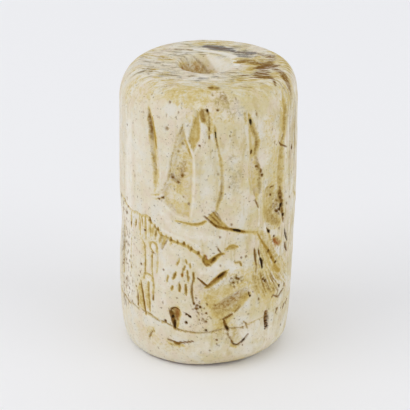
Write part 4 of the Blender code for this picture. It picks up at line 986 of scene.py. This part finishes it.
def head_marks(head):
    """Dirt on the head end, placed by (right, back) from its middle: stained layers of the shell."""
    head.fibres(((5.4, 2.9), (3.9, -3.7)), ((7.2, 2.5), (6.2, -3.9)), count=11, width=0.5, seed=21,
                umber=1.0)
    head.fibres(((4.6, -0.9), (4.6, -3.3)), ((6.6, -0.8), (6.0, -3.5)), count=5, width=0.6, seed=22,
                umber=1.0)
    layers = (
        (-6.8, 0.6, 1.4), (-5.4, 0.2, 1.2), (-6.0, -1.4, 1.6), (-3.4, -5.0, 1.5), (-0.4, -6.2, 1.4),
        (1.8, -5.2, 1.6), (3.6, -6.6, 1.4), (-4.4, -6.4, 1.4), (5.2, -5.4, 1.4), (-2.2, -3.8, 1.2),
        (2.8, -4.2, 1.2), (7.4, -4.4, 1.0),
    )
    for right, back, long in layers:
        head.smear("umber", (0.36, (right - long / 2, back + 0.15, 0.25), (right, back - 0.1, 0.4),
                             (right + long / 2, back, 0.25)))
    blotches = (
        (-7.0, -2.4, 1.2), (-6.4, -1.9, 0.9), (-6.2, -3.0, 1.1), (-4.9, -3.9, 1.1), (-4.2, -3.4, 1.0),
        (-3.2, -4.2, 1.0), (-0.6, -4.4, 1.5), (-1.2, -5.2, 1.1), (0.5, -4.0, 1.1), (1.4, -2.6, 1.0),
        (2.0, -3.2, 0.9), (-6.2, -0.8, 0.8),
    )
    head.spots("slate", *[(0.36, *blotch) for blotch in blotches])
    head.spots("umber", (0.72, 0.15, -7.05, 0.8), (0.66, 0.75, -7.1, 0.7), (0.4, 1.3, -8.2, 1.1))
    head.spots("ochre", (0.85, 0.4, -7.1, 1.6))
    head.spots("rust", (0.2, 1.4, -8.3, 1.2))
    head.smear(
        "slate",
        (0.95, (-0.3, 5.3, 1.3), (0.6, 5.1, 1.9), (1.6, 4.7, 1.7), (2.4, 4.2, 1.2)),
        (0.66, (2.2, 4.2, 1.1), (3.2, 3.7, 1.5), (4.6, 3.5, 1.2)),
        (0.65, (3.0, 2.9, 0.9), (3.9, 2.5, 1.2), (4.8, 2.6, 0.7)),
    )
    head.smear(
        "umber",
        (0.34, (-0.2, 5.3, 0.6), (0.8, 5.0, 1.1), (1.8, 4.5, 1.0), (2.8, 3.9, 0.7), (3.8, 3.4, 0.8)),
        (0.5, (5.3, 3.2, 0.7), (6.3, 2.8, 1.3), (6.6, 1.9, 1.2), (6.3, 0.9, 0.9), (6.1, -0.2, 2.0),
         (5.7, -1.0, 1.8), (5.4, -2.0, 1.7), (5.1, -2.9, 1.6), (5.2, -3.8, 0.8)),
        (0.9, (5.2, -0.7, 0.9), (5.9, -0.5, 1.3), (6.6, -0.4, 1.1), (7.1, -0.1, 0.7)),
        (0.55, (6.7, -1.1, 0.8), (7.3, -2.0, 0.9), (7.7, -2.8, 1.2), (8.1, -3.5, 1.0)),
        (0.7, (5.9, -3.2, 0.5), (6.4, -4.1, 0.6), (6.7, -5.0, 0.4)),
        (0.6, (3.1, 0.9, 1.1), (4.0, 0.9, 1.5), (4.8, 0.4, 1.2)),
        (0.32, (2.6, -3.0, 1.0), (3.6, -3.4, 1.2), (3.4, -4.6, 0.7)),
        (0.34, (-7.2, 1.8, 0.8), (-5.9, 1.7, 1.0), (-4.4, 1.2, 0.8)),
        (0.32, (-7.4, -1.6, 0.9), (-6.2, -2.4, 1.2), (-4.9, -3.2, 0.8)),
        (0.4, (-3.6, 4.2, 0.8), (-2.6, 4.0, 1.0), (-2.0, 3.9, 0.6)),
    )
    head.smear("rust", (0.24, (7.2, -2.0, 0.8), (7.8, -3.0, 1.1), (8.2, -3.8, 0.8)))
    head.smear(
        "ochre",
        (0.75, (3.1, 0.8, 1.4), (4.2, 0.6, 1.8), (5.0, 0.2, 1.4)),
        (0.5, (3.0, 1.4, 1.6), (4.2, 1.0, 2.4), (4.6, -0.6, 2.0), (4.0, -2.0, 2.0)),
        (0.5, (3.2, -4.6, 1.4), (4.6, -4.2, 2.0), (6.2, -3.6, 2.4), (7.6, -2.8, 2.2)),
        (0.5, (7.4, 0.8, 1.6), (7.6, 2.4, 1.6), (6.6, 4.2, 1.4)),
        (0.5, (4.6, 2.4, 1.6), (5.6, 1.4, 1.6), (7.8, -0.6, 1.6), (8.2, 1.0, 1.0)),
        (0.34, (-8.2, 1.0, 1.4), (-7.4, 3.4, 1.6), (-5.4, 4.6, 1.6)),
        (0.42, (-6.8, 2.2, 1.6), (-5.2, 1.4, 2.0), (-4.0, 0.8, 1.4)),
        (0.36, (-7.6, -1.4, 1.6), (-6.4, -2.2, 2.0), (-4.6, -3.4, 1.6)),
        (0.4, (0.8, 7.2, 1.6), (2.4, 6.6, 1.4), (-1.4, 6.0, 1.4)),
        (0.26, (-8.0, -3.6, 2.2), (-5.4, -6.2, 2.6), (-2.0, -7.3, 2.6), (2.0, -7.3, 2.6),
         (5.4, -6.2, 2.6), (7.8, -4.0, 2.2)),
        (0.36, (-5.6, -4.6, 1.2), (-4.0, -5.4, 1.6), (-2.8, -6.2, 1.4)),
        (0.24, (-4.6, -5.0, 1.6), (-1.6, -6.0, 2.0), (2.4, -5.6, 2.0)),
    )
    head.smear(
        "bare_and_highlight",
        (0.9, (-1.6, 4.3, 0.6), (-0.4, 3.9, 0.9), (1.0, 3.4, 1.0), (2.2, 2.6, 1.2), (2.7, 1.2, 1.2),
         (2.8, -0.4, 1.0)),
        (0.5, (-3.4, 2.6, 0.6), (-2.8, 3.2, 0.6)),
    )


def mouth_marks(mouth):
    """The far wall of the head's mouth, by (right, depth): brown low on the left, and pale on the right,
    bare shell with a painted highlight where the flank is lit.
    """
    mouth.smear(
        "ochre",
        (0.44, (-3.3, 0.5, 0.8), (-2.6, 1.1, 1.6), (-1.6, 1.4, 2.2), (-0.2, 1.9, 2.0)),
        (0.3, (0.6, 1.9, 0.6), (1.4, 1.7, 0.6), (2.0, 1.5, 0.5)),
    )
    mouth.smear("rust", (0.38, (-2.9, 0.9, 0.8), (-1.9, 1.3, 1.8), (-0.4, 1.7, 1.8)))
    mouth.smear(
        "umber",
        (0.28, (-2.5, 0.2, 0.2), (-2.2, 0.9, 0.25), (-1.9, 1.7, 0.3), (-1.7, 2.3, 0.4)),
        (0.46, (-1.7, 0.2, 0.3), (-1.15, 0.7, 0.4), (-0.6, 1.2, 0.5), (-0.2, 1.7, 0.6)),
        (0.3, (-3.1, 0.4, 0.2), (-2.9, 1.0, 0.25), (-2.6, 1.6, 0.25)),
    )
    # Pale on the right: a painted highlight on the mouth's lit flank, over bare shell
    mouth.smear(
        "bare_and_highlight",
        (0.8, (-0.1, 0.2, 0.9), (0.7, 0.6, 1.4), (1.5, 0.8, 1.8), (2.3, 0.9, 2.0), (2.6, 1.6, 2.0)),
    )


def hidden_beast(wall, across, way):
    """One plainer rearing animal of the hidden side. Way is 1 or -1 for the side it faces."""
    def at(*points):
        """The animal's own points, turned to face its way and moved to its place on the wall."""
        return [(across + way * x, *rest) for x, *rest in points]

    def limb(*points, deep):
        wall.cut(*at(*points), deep=deep, ochre=0.6, umber=0.35)

    wall.sink(*at((-0.6, 25.6), (0.9, 25.0), (1.7, 21.0), (1.4, 17.0), (0.2, 14.8), (-1.2, 15.6),
                  (-1.6, 19.0), (-1.2, 22.5)), depth=0.36, edge=0.7, ochre=0.28)
    wall.sink(*at((-1.4, 15.2), (0.6, 14.8), (0.9, 12.0), (-0.6, 10.0), (-2.4, 10.8), (-2.6, 13.2)),
              depth=0.32, edge=0.6, ochre=0.3)
    limb((0.5, 29.4, 0.3), (0.9, 27.2, 0.9), (0.6, 24.8, 0.4), deep=0.42)
    limb((2.8, 29.6, 0.3), (2.4, 26.5, 0.8), (2.5, 22.3, 0.3), deep=0.42)
    limb((0.6, 14.4, 0.4), (2.6, 15.3, 0.5), (4.0, 17.2, 0.3), deep=0.5)
    limb((0.4, 11.8, 0.4), (2.2, 11.0, 0.5), (3.2, 8.4, 0.3), deep=0.5)
    limb((-1.6, 10.4, 0.5), (-1.2, 8.6, 0.6), (-2.2, 7.3, 0.3), deep=0.5)
    limb((-1.2, 8.8, 0.3), (-0.2, 7.8, 0.4), (0.2, 7.1, 0.2), deep=0.5)
    wall.pit(across - way * 0.6, 9.4, 0.7, 0.7)
    for row in range(3):
        for lock in range(4):
            x, z = -2.3 + 0.62 * lock, 14.2 - 1.15 * row - 0.2 * (lock % 2)
            limb((x, z + 0.35, 0.15), (x - 0.1, z, 0.3), (x - 0.15, z - 0.35, 0.15), deep=0.5)
    for claw in range(3):
        x, z = 4.0 + 0.35 * claw, 17.6 + 0.25 * claw
        limb((x, z, 0.2), (x + 0.5, z + 0.6, 0.2), deep=0.5)


def stray_pits(wall):
    """The small natural holes scattered over worn shell, most of them packed with dirt.

    The left flank has the most of them, and there the shell's layers stand open beside the mane.
    """
    dice = random.Random(7)

    def cluster(count, middle, spread, ups, sizes, darks):
        for _ in range(count):
            wall.pit(dice.gauss(middle, spread), dice.uniform(*ups), dice.uniform(*sizes),
                     dice.uniform(*darks), dice.uniform(1.0, 2.0))

    wall.fibres(((-13.0, 18.6), (-11.3, 17.4)), ((-12.7, 4.6), (-11.5, 6.0)), count=7, width=0.22,
                seed=41, slate=0.5, umber=0.5)
    cluster(90, -11.5, 0.8, ups=(5.0, 18.5), sizes=(0.2, 0.34), darks=(0.2, 0.6))
    for _ in range(520):
        across = dice.uniform(-GIRTH / 2, GIRTH / 2)
        up = dice.uniform(1.0, HEIGHT - 0.6)
        size = 0.13 + 0.16 * dice.random() ** 2
        wall.pit(across, up, size, 0.12 + 0.45 * dice.random() ** 2, dice.uniform(1.0, 1.8))
    cluster(70, -10.0, 0.9, ups=(5.0, 16.5), sizes=(0.16, 0.26), darks=(0.25, 0.55))


def engrave(wall):
    """The whole frieze round the wall, its dirt, and the softening that handling gave it."""
    for part in (left_beast, middle_limb, right_limb, far_beast, shoulder_band, clawed_foot, mane,
                 open_jaws, thin_legs, ground_line):
        part(wall)
    for across, way in ((17.6, -1.0), (28.9, 1.0), (-18.2, -1.0)):
        hidden_beast(wall, across, way)
    washes(wall)
    stray_pits(wall)
    wall.rub(1)


# ---------------------------------------------------------------- the mesh


def lumps(x, y, z, size, height):
    """Bumps of about this size and height."""
    points = np.stack([x, y, z], -1).reshape(-1, 3) / size
    values = np.array([noise.noise(Vector(point)) for point in points])
    return height * values.reshape(x.shape)


def flat_layout(parts, x, y, z, angles):
    """Every face laid flat, as if cut out of paper: strips for wall and bore, a disc for each end."""
    margin, bore_shrink = 0.01, 0.85
    bore_corner, head_middle, foot_middle = (0.59, 0.62), (0.14, 0.74), (0.42, 0.74)
    rows, columns = x.shape
    share = np.append(angles - angles[0], math.tau) / math.tau
    gaps = np.sqrt(np.diff(x, axis=0) ** 2 + np.diff(y, axis=0) ** 2 + np.diff(z, axis=0) ** 2).mean(1)
    run = np.insert(np.cumsum(gaps), 0, 0.0)
    run -= run[np.flatnonzero(parts == "wall")[-1]]
    bore_start = run[np.argmax(parts == "bore")]
    below = np.roll(parts, -1)
    scale = (1.0 - 2 * margin) / GIRTH
    narrow = bore_shrink * scale
    layout = np.zeros((rows, columns, 4, 2))
    for corner, (down, along) in enumerate(((0, 0), (1, 0), (1, 1), (0, 1))):
        row = (np.arange(rows) + down) % rows
        column = np.arange(columns) + along
        turn, fall = np.meshgrid(share[column], run[row])
        side, back = x[row][:, column % columns], y[row][:, column % columns]
        places = (
            ((parts == "wall") & (below == "wall"), margin + (1.0 - 2 * margin) * turn,
             margin - fall * scale),
            ((parts == "bore") & (below == "bore"), bore_corner[0] + (fall - bore_start) * narrow,
             bore_corner[1] + math.tau * BORE * turn * narrow),
            ((parts == "head") | (below == "head"), head_middle[0] + side * scale,
             head_middle[1] + back * scale),
            ((parts == "foot") | (below == "foot"), foot_middle[0] - side * scale,
             foot_middle[1] + back * scale),
        )
        for chosen, u, v in places:
            layout[chosen, :, corner] = np.stack([u, v], -1)[chosen]
    return layout


def seal_mesh():
    """The engraved solid, with each kind of dirt and the hollows kept as attributes of its points."""
    angles = girth_angles()
    parts, (x, y, z) = body_rings(angles)
    out = outward(x, y, z)
    on_wall = parts == "wall"
    rows = slice(int(np.argmax(on_wall)), int(len(parts) - np.argmax(on_wall[::-1])))
    wall = Sheet(np.arctan2(x[rows], -y[rows]) * RADIUS, z[rows])
    engrave(wall)
    head = Sheet(x, y)
    head_marks(head)
    mouth = Sheet(x, HEIGHT - z)
    mouth_marks(mouth)

    in_mouth = np.hypot(x - MOUTH_ASIDE, y) < MOUTH - MOUTH_LIP
    on_head = np.where(in_mouth, 0.0, ease((z - (HEIGHT - HEAD_RISE)) / HEAD_FADE))
    rightward = np.clip(x - MOUTH_ASIDE, 0.0, None)
    at_back = ease((y + MOUTH_FRONT + MOUTH_CLEAN * rightward) / MOUTH_FADE)
    on_mouth = at_back * in_mouth * (z > HEIGHT / 2)

    depth = np.zeros_like(x)
    depth[rows] = wall.depth
    depth -= sum(lumps(x, y, z, size, height) for size, height in GRINDING)
    depth[parts == "bore"] *= BORE_UNEVENNESS
    level_foot = (parts == "foot")[:, None] & (np.abs(out[..., 2]) > LEVEL)
    depth = np.where(level_foot | (z < STANDING_RIM), 0.0, depth)
    x, y, z = x - out[..., 0] * depth, y - out[..., 1] * depth, z - out[..., 2] * depth

    corners = np.arange(x.size).reshape(x.shape)
    right = np.roll(corners, -1, 1)
    faces = np.stack([corners, np.roll(corners, -1, 0), np.roll(right, -1, 0), right], -1).reshape(-1, 4)
    mesh = bpy.data.meshes.new("seal")
    points = np.stack([x, y, z], -1).reshape(-1, 3) * MM
    mesh.from_pydata(points.tolist(), [], faces.tolist())
    mesh.shade_smooth()

    def keep(name, values):
        """Store one number at every point, for the material to read."""
        layer = mesh.attributes.new(name, "FLOAT", "POINT")
        layer.data.foreach_set("value", values.astype(np.float32).ravel())

    for name in Sheet.SPREAD:
        dirt = np.maximum(head.dirt[name] * on_head, mouth.dirt[name] * on_mouth)
        dirt[rows] = np.maximum(dirt[rows], wall.dirt[name])
        keep(name, dirt)
    blurred = Sheet(wall.across, wall.up)
    blurred.depth = wall.depth
    blurred.rub(HOLLOW_RUBS)
    hollow = np.zeros_like(x)
    hollow[rows] = (wall.depth - blurred.depth) / HOLLOW_DEPTH
    keep("hollow", hollow)
    mesh.uv_layers.new(name="OFBake").data.foreach_set("uv", flat_layout(parts, x, y, z, angles).ravel())
    return mesh


# ---------------------------------------------------------------- worn shell

IVORY, BURIED_YELLOW = "#e1d8c2", "#d4c695"
ROSE_CLOUD, GREY_CLOUD = "#dcc9b4", "#dddbd3"
AMBER_STREAK, CREAM_FLECK = "#c6b276", "#ebe3d1"
TAN_SPECKLE, BROWN_SPECK = "#a8976a", "#7d683f"
FLANK_LAYER, END_LAYER, PALE_LAYER = "#b49a58", "#7d683a", "#efeade"
BARE_SHELL_AND_HIGHLIGHT, HOLLOW_DUST_AND_SHADE, RIDGE_WEAR_AND_HIGHLIGHT = "#efebe0", "#b09050", "#eee9dc"
OCHRE_DUST, PACKED_OCHRE = "#d3bf7e", "#b3923f"
RUST_STAIN, SLATE_STAIN, UMBER_DIRT, SOOT = "#95501e", "#625b57", "#7a5419", "#2a1a08"
PALE_PAPER, ROOM_LIGHT = "#f9f9fa", "#f6f7fa"

# Patterns of the shell: size in millimetres, stretch along each axis, detail, roughness and warp.
# Clouds and tones are its own growth, streaks run down it, flecks, speckle and specks are its worn
# skin. Sheets are the edges of its growth layers, in truth about 0.1 mm thick, drawn at 0.35 mm so
# that they show.
EVEN = (1.0, 1.0, 1.0)
PATTERNS = {
    "clouds": (2.8, EVEN, 3.0, 0.55, 0.0),
    "streaks": (1.0, (1.4, 1.4, 0.35), 3.0, 0.55, 0.4),
    "tones": (1.5, EVEN, 2.0, 0.55, 0.0),
    "flecks": (0.8, EVEN, 4.0, 0.65, 0.0),
    "speckle": (0.3, EVEN, 3.0, 0.7, 0.0),
    "specks": (0.24, EVEN, 1.0, 0.55, 0.0),
    "sheets": (1.0, (0.6, 2.8, 0.22), 4.0, 0.72, 0.5),
}


def linear(code):
    """A colour of the shader from an sRGB hex code."""
    values = [int(code[k : k + 2], 16) / 255 for k in (1, 3, 5)]
    return (*[v / 12.92 if v <= 0.04045 else ((v + 0.055) / 1.055) ** 2.4 for v in values], 1.0)


def per_mm(size):
    """The scale of a pattern whose features are this many millimetres wide."""
    return 1.0 / (size * MM)


def feed(node, inputs):
    """Give a node's inputs what they take: a link from another node, a number or a hex colour."""
    for socket, source in inputs.items():
        if isinstance(source, bpy.types.NodeSocket):
            node.id_data.links.new(source, node.inputs[socket])
        else:
            node.inputs[socket].default_value = linear(source) if isinstance(source, str) else source


def add(tree, kind, inputs, **settings):
    """Add a node with its settings and links."""
    node = tree.nodes.new("ShaderNode" + kind)
    for name, value in settings.items():
        setattr(node, name, value)
    feed(node, inputs)
    return node


def worn_shell():
    """Sea shell, ground round and polished, then long buried and handled.

    The eye sees a waxy ivory, cloudy in itself, with its growth layers as fine lines where the
    surface cuts across them, and dirt that is matt and dark in every cut and pit.
    """
    material = bpy.data.materials.new("worn_shell")
    material.use_nodes = True
    tree = material.node_tree
    place = add(tree, "TexCoord", {}).outputs["Object"]
    normal = add(tree, "NewGeometry", {}).outputs["Normal"]
    spot = add(tree, "SeparateXYZ", {"Vector": place}).outputs
    facing = add(tree, "SeparateXYZ", {"Vector": normal}).outputs
    held = {name: add(tree, "Attribute", {}, attribute_name=name).outputs["Fac"]
            for name in (*Sheet.SPREAD, "hollow")}
    shell = {}
    for name, (size, stretch, detail, rough, warp) in PATTERNS.items():
        moved = add(tree, "Mapping", {"Vector": place, "Scale": stretch}).outputs["Vector"]
        shell[name] = add(tree, "TexNoise", {"Vector": moved, "Scale": per_mm(size), "Detail": detail,
                                             "Roughness": rough, "Distortion": warp}).outputs["Fac"]

    def showing(source, start, end, low=0.0, high=1.0, within=None, besides=None):
        """How strongly a finish shows: from low to high as its source goes from start to end.

        It may show only within another finish, and besides a second one.
        """
        share = add(tree, "MapRange", {"Value": source, "From Min": start, "From Max": end,
                                       "To Min": low, "To Max": high},
                    interpolation_type="SMOOTHSTEP").outputs["Result"]
        for other, operation in ((within, "MULTIPLY"), (besides, "ADD")):
            if other is not None:
                share = add(tree, "Math", {0: share, 1: other}, operation=operation).outputs[0]
        return share

    def coat(under, code, *levels, **limits):
        """A coat of one colour over what lies under it, as strong as it shows."""
        share = showing(*levels, **limits)
        return add(tree, "Mix", {0: share, 6: under, 7: code}, data_type="RGBA").outputs[2]

    # The side that lay in the ground, the right, has taken up more yellow
    buried = showing(spot["X"], -7.0 * MM, 4.0 * MM, low=0.25)
    between_flecks = showing(shell["flecks"], 0.62, 0.4, low=0.25)
    colour = coat(IVORY, BURIED_YELLOW, shell["clouds"], 0.34, 0.66, within=buried)
    colour = coat(colour, ROSE_CLOUD, shell["tones"], 0.5, 0.66, high=0.45)
    colour = coat(colour, GREY_CLOUD, shell["tones"], 0.5, 0.36, high=0.45)
    colour = coat(colour, AMBER_STREAK, shell["streaks"], 0.5, 0.7, high=0.62, within=buried)
    colour = coat(colour, CREAM_FLECK, shell["flecks"], 0.56, 0.72, high=0.5)
    colour = coat(colour, TAN_SPECKLE, shell["speckle"], 0.54, 0.74, high=0.6, within=between_flecks)
    colour = coat(colour, BROWN_SPECK, shell["specks"], 0.66, 0.75, high=0.66)

    # The layers of the shell face the front, so their edges show on the ends and on the flanks
    upright = add(tree, "Math", {0: facing["Z"]}, operation="ABSOLUTE").outputs[0]
    backward = showing(spot["Y"], -9.0 * MM, -3.0 * MM, 0.3, 0.85)
    end_on = showing(upright, 0.45, 0.95, within=backward)
    right_on = showing(facing["X"], 0.45, 0.9, high=0.8)
    side_on = showing(facing["X"], -0.7, -1.0, high=0.35, besides=right_on)
    side_on = showing(spot["Z"], 3.0 * MM, 12.0 * MM, low=0.4, within=side_on)
    edge_on = add(tree, "Math", {0: end_on, 1: side_on}).outputs[0]
    for code, edge in ((FLANK_LAYER, side_on), (END_LAYER, end_on)):
        patchy = showing(shell["clouds"], 0.36, 0.58, low=0.25, within=edge)
        colour = coat(colour, code, shell["sheets"], 0.5, 0.64, within=patchy)
    colour = coat(colour, PALE_LAYER, shell["sheets"], 0.47, 0.37, high=0.82, within=edge_on)

    # Dirt ends raggedly, as it clings to the specks of the skin and, on the ends, to the layers
    ragged = showing(shell["flecks"], 0.35, 0.65, -0.09, 0.09)
    ragged = showing(shell["speckle"], 0.3, 0.7, -0.12, 0.12, besides=ragged)
    ragged = showing(shell["sheets"], 0.38, 0.62, -0.34, 0.28, within=end_on, besides=ragged)

    def stain(under, dirt, code, start, end, strength, mottle=1.0):
        """Dirt of one colour where the points hold it: mottled where it is faint, with ragged edges."""
        uneven = showing(held[dirt], 0.35, 0.8, mottle, 0.8, within=ragged)
        amount = showing(held[dirt], 0.02, 0.25, within=uneven, besides=held[dirt])
        return coat(under, code, amount, start, end, high=strength)

    # Pale bare shell: worn clean in places, and a painted highlight on lit bevels, ridges and the mouth's
    # lit flank
    colour = stain(colour, "bare_and_highlight", BARE_SHELL_AND_HIGHLIGHT, 0.12, 1.0, 0.85)
    # Dust and painted shade in the hollows, wear and a painted highlight on what stands above them
    colour = coat(colour, HOLLOW_DUST_AND_SHADE, held["hollow"], 0.15, 1.2, high=0.55)
    colour = coat(colour, RIDGE_WEAR_AND_HIGHLIGHT, held["hollow"], -0.15, -0.9, high=0.45)
    colour = stain(colour, "ochre", OCHRE_DUST, 0.04, 0.66, 0.9, mottle=1.8)
    colour = stain(colour, "ochre", PACKED_OCHRE, 0.42, 1.0, 0.95, mottle=1.4)
    colour = stain(colour, "rust", RUST_STAIN, 0.08, 0.9, 0.92)
    colour = stain(colour, "slate", SLATE_STAIN, 0.08, 0.9, 0.92)
    colour = stain(colour, "umber", UMBER_DIRT, 0.05, 0.88, 0.97, mottle=0.75)
    colour = stain(colour, "soot", SOOT, 0.12, 0.85, 0.97)

    # Bare shell is waxy and lets a little light in. Dirt is matt, and flecks of the skin are duller.
    dirt = add(tree, "Math", {0: held["umber"], 1: held["soot"]}).outputs[0]
    dirt = add(tree, "Math", {0: dirt, 1: held["ochre"]}).outputs[0]
    dull = add(tree, "Math", {0: dirt, 1: shell["flecks"]}).outputs[0]
    skin = showing(shell["flecks"], 0.3, 0.7, low=0.4)
    skin = showing(shell["speckle"], 0.2, 0.8, within=skin)
    relief = showing(shell["sheets"], 0.5, 0.64, within=edge_on, besides=skin)
    bump = add(tree, "Bump", {"Height": relief, "Strength": 0.35, "Distance": 0.05 * MM})
    feed(tree.nodes["Principled BSDF"], {
        "Base Color": colour,
        "Roughness": showing(dull, 0.3, 1.2, 0.45, 0.85),
        "IOR": 1.55,
        "Specular IOR Level": showing(dirt, 0.1, 0.7, 0.35, 0.08),
        "Subsurface Weight": showing(dirt, 0.1, 0.6, 0.12, 0.0),
        "Subsurface Radius": (1.0, 0.7, 0.45),
        "Subsurface Scale": 0.8 * MM,
        "Normal": bump.outputs["Normal"],
    })
    return material


# ---------------------------------------------------------------- the studio

FLOOR_SIZE = 6.0
ROOM_STRENGTH = 0.8

# Softboxes: place in metres, side of the square in metres, power in watts
SOFTBOXES = {
    "left_softbox": ((-0.85, -0.35, 0.55), 0.8, 2.6),
    "right_softbox": ((0.95, -0.45, 0.7), 0.9, 2.2),
}

# The camera's angle above the level and its roll in degrees, its distance, lens and framing
CAMERA_TILT = 24.8
CAMERA_ROLL = 1.174
CAMERA_AWAY = 178.5
CAMERA_LENS = 143.9
CAMERA_SHIFT = (-0.0053, -0.00715)
CAMERA_NEAR = 10.0

MIDDLE = Vector((0.0, 0.0, HEIGHT / 2 * MM))


def place_object(name, data):
    """Put new data into the scene as an object."""
    thing = bpy.data.objects.new(name, data)
    bpy.context.scene.collection.objects.link(thing)
    return thing


def studio():
    """A pale sweep of floor under soft, even light with a little more from the left."""
    bpy.ops.mesh.primitive_plane_add(size=FLOOR_SIZE)
    floor = bpy.context.object
    floor.name = "floor"
    paper = bpy.data.materials.new("pale_paper")
    paper.use_nodes = True
    feed(paper.node_tree.nodes["Principled BSDF"], {"Base Color": PALE_PAPER, "Roughness": 0.9})
    floor.data.materials.append(paper)

    room = bpy.data.worlds.new("soft_room")
    room.use_nodes = True
    feed(room.node_tree.nodes["Background"], {"Color": ROOM_LIGHT, "Strength": ROOM_STRENGTH})
    bpy.context.scene.world = room

    for name, (place, size, power) in SOFTBOXES.items():
        box = place_object(name, bpy.data.lights.new(name, "AREA"))
        box.data.shape = "SQUARE"
        box.data.size = size
        box.data.energy = power
        box.location = place
        box.rotation_euler = (MIDDLE - box.location).to_track_quat("-Z", "Y").to_euler()


def camera():
    """A long lens that looks down on the seal from the front, turned a little in the hand."""
    eye = place_object("camera", bpy.data.cameras.new("camera"))
    eye.data.lens = CAMERA_LENS
    eye.data.shift_x, eye.data.shift_y = CAMERA_SHIFT
    eye.data.clip_start = CAMERA_NEAR * MM
    tilt = math.radians(CAMERA_TILT)
    eye.location = MIDDLE + CAMERA_AWAY * MM * Vector((0.0, -math.cos(tilt), math.sin(tilt)))
    look = (MIDDLE - eye.location).to_track_quat("-Z", "Y").to_matrix().to_4x4()
    eye.rotation_euler = (look @ Matrix.Rotation(math.radians(CAMERA_ROLL), 4, "Z")).to_euler()
    bpy.context.scene.camera = eye


seal = place_object("engraved_seal", seal_mesh())
seal.data.materials.append(worn_shell())
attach(seal, "root")
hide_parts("seal")
studio()
camera()
bpy.context.scene.view_settings.view_transform = "Standard"
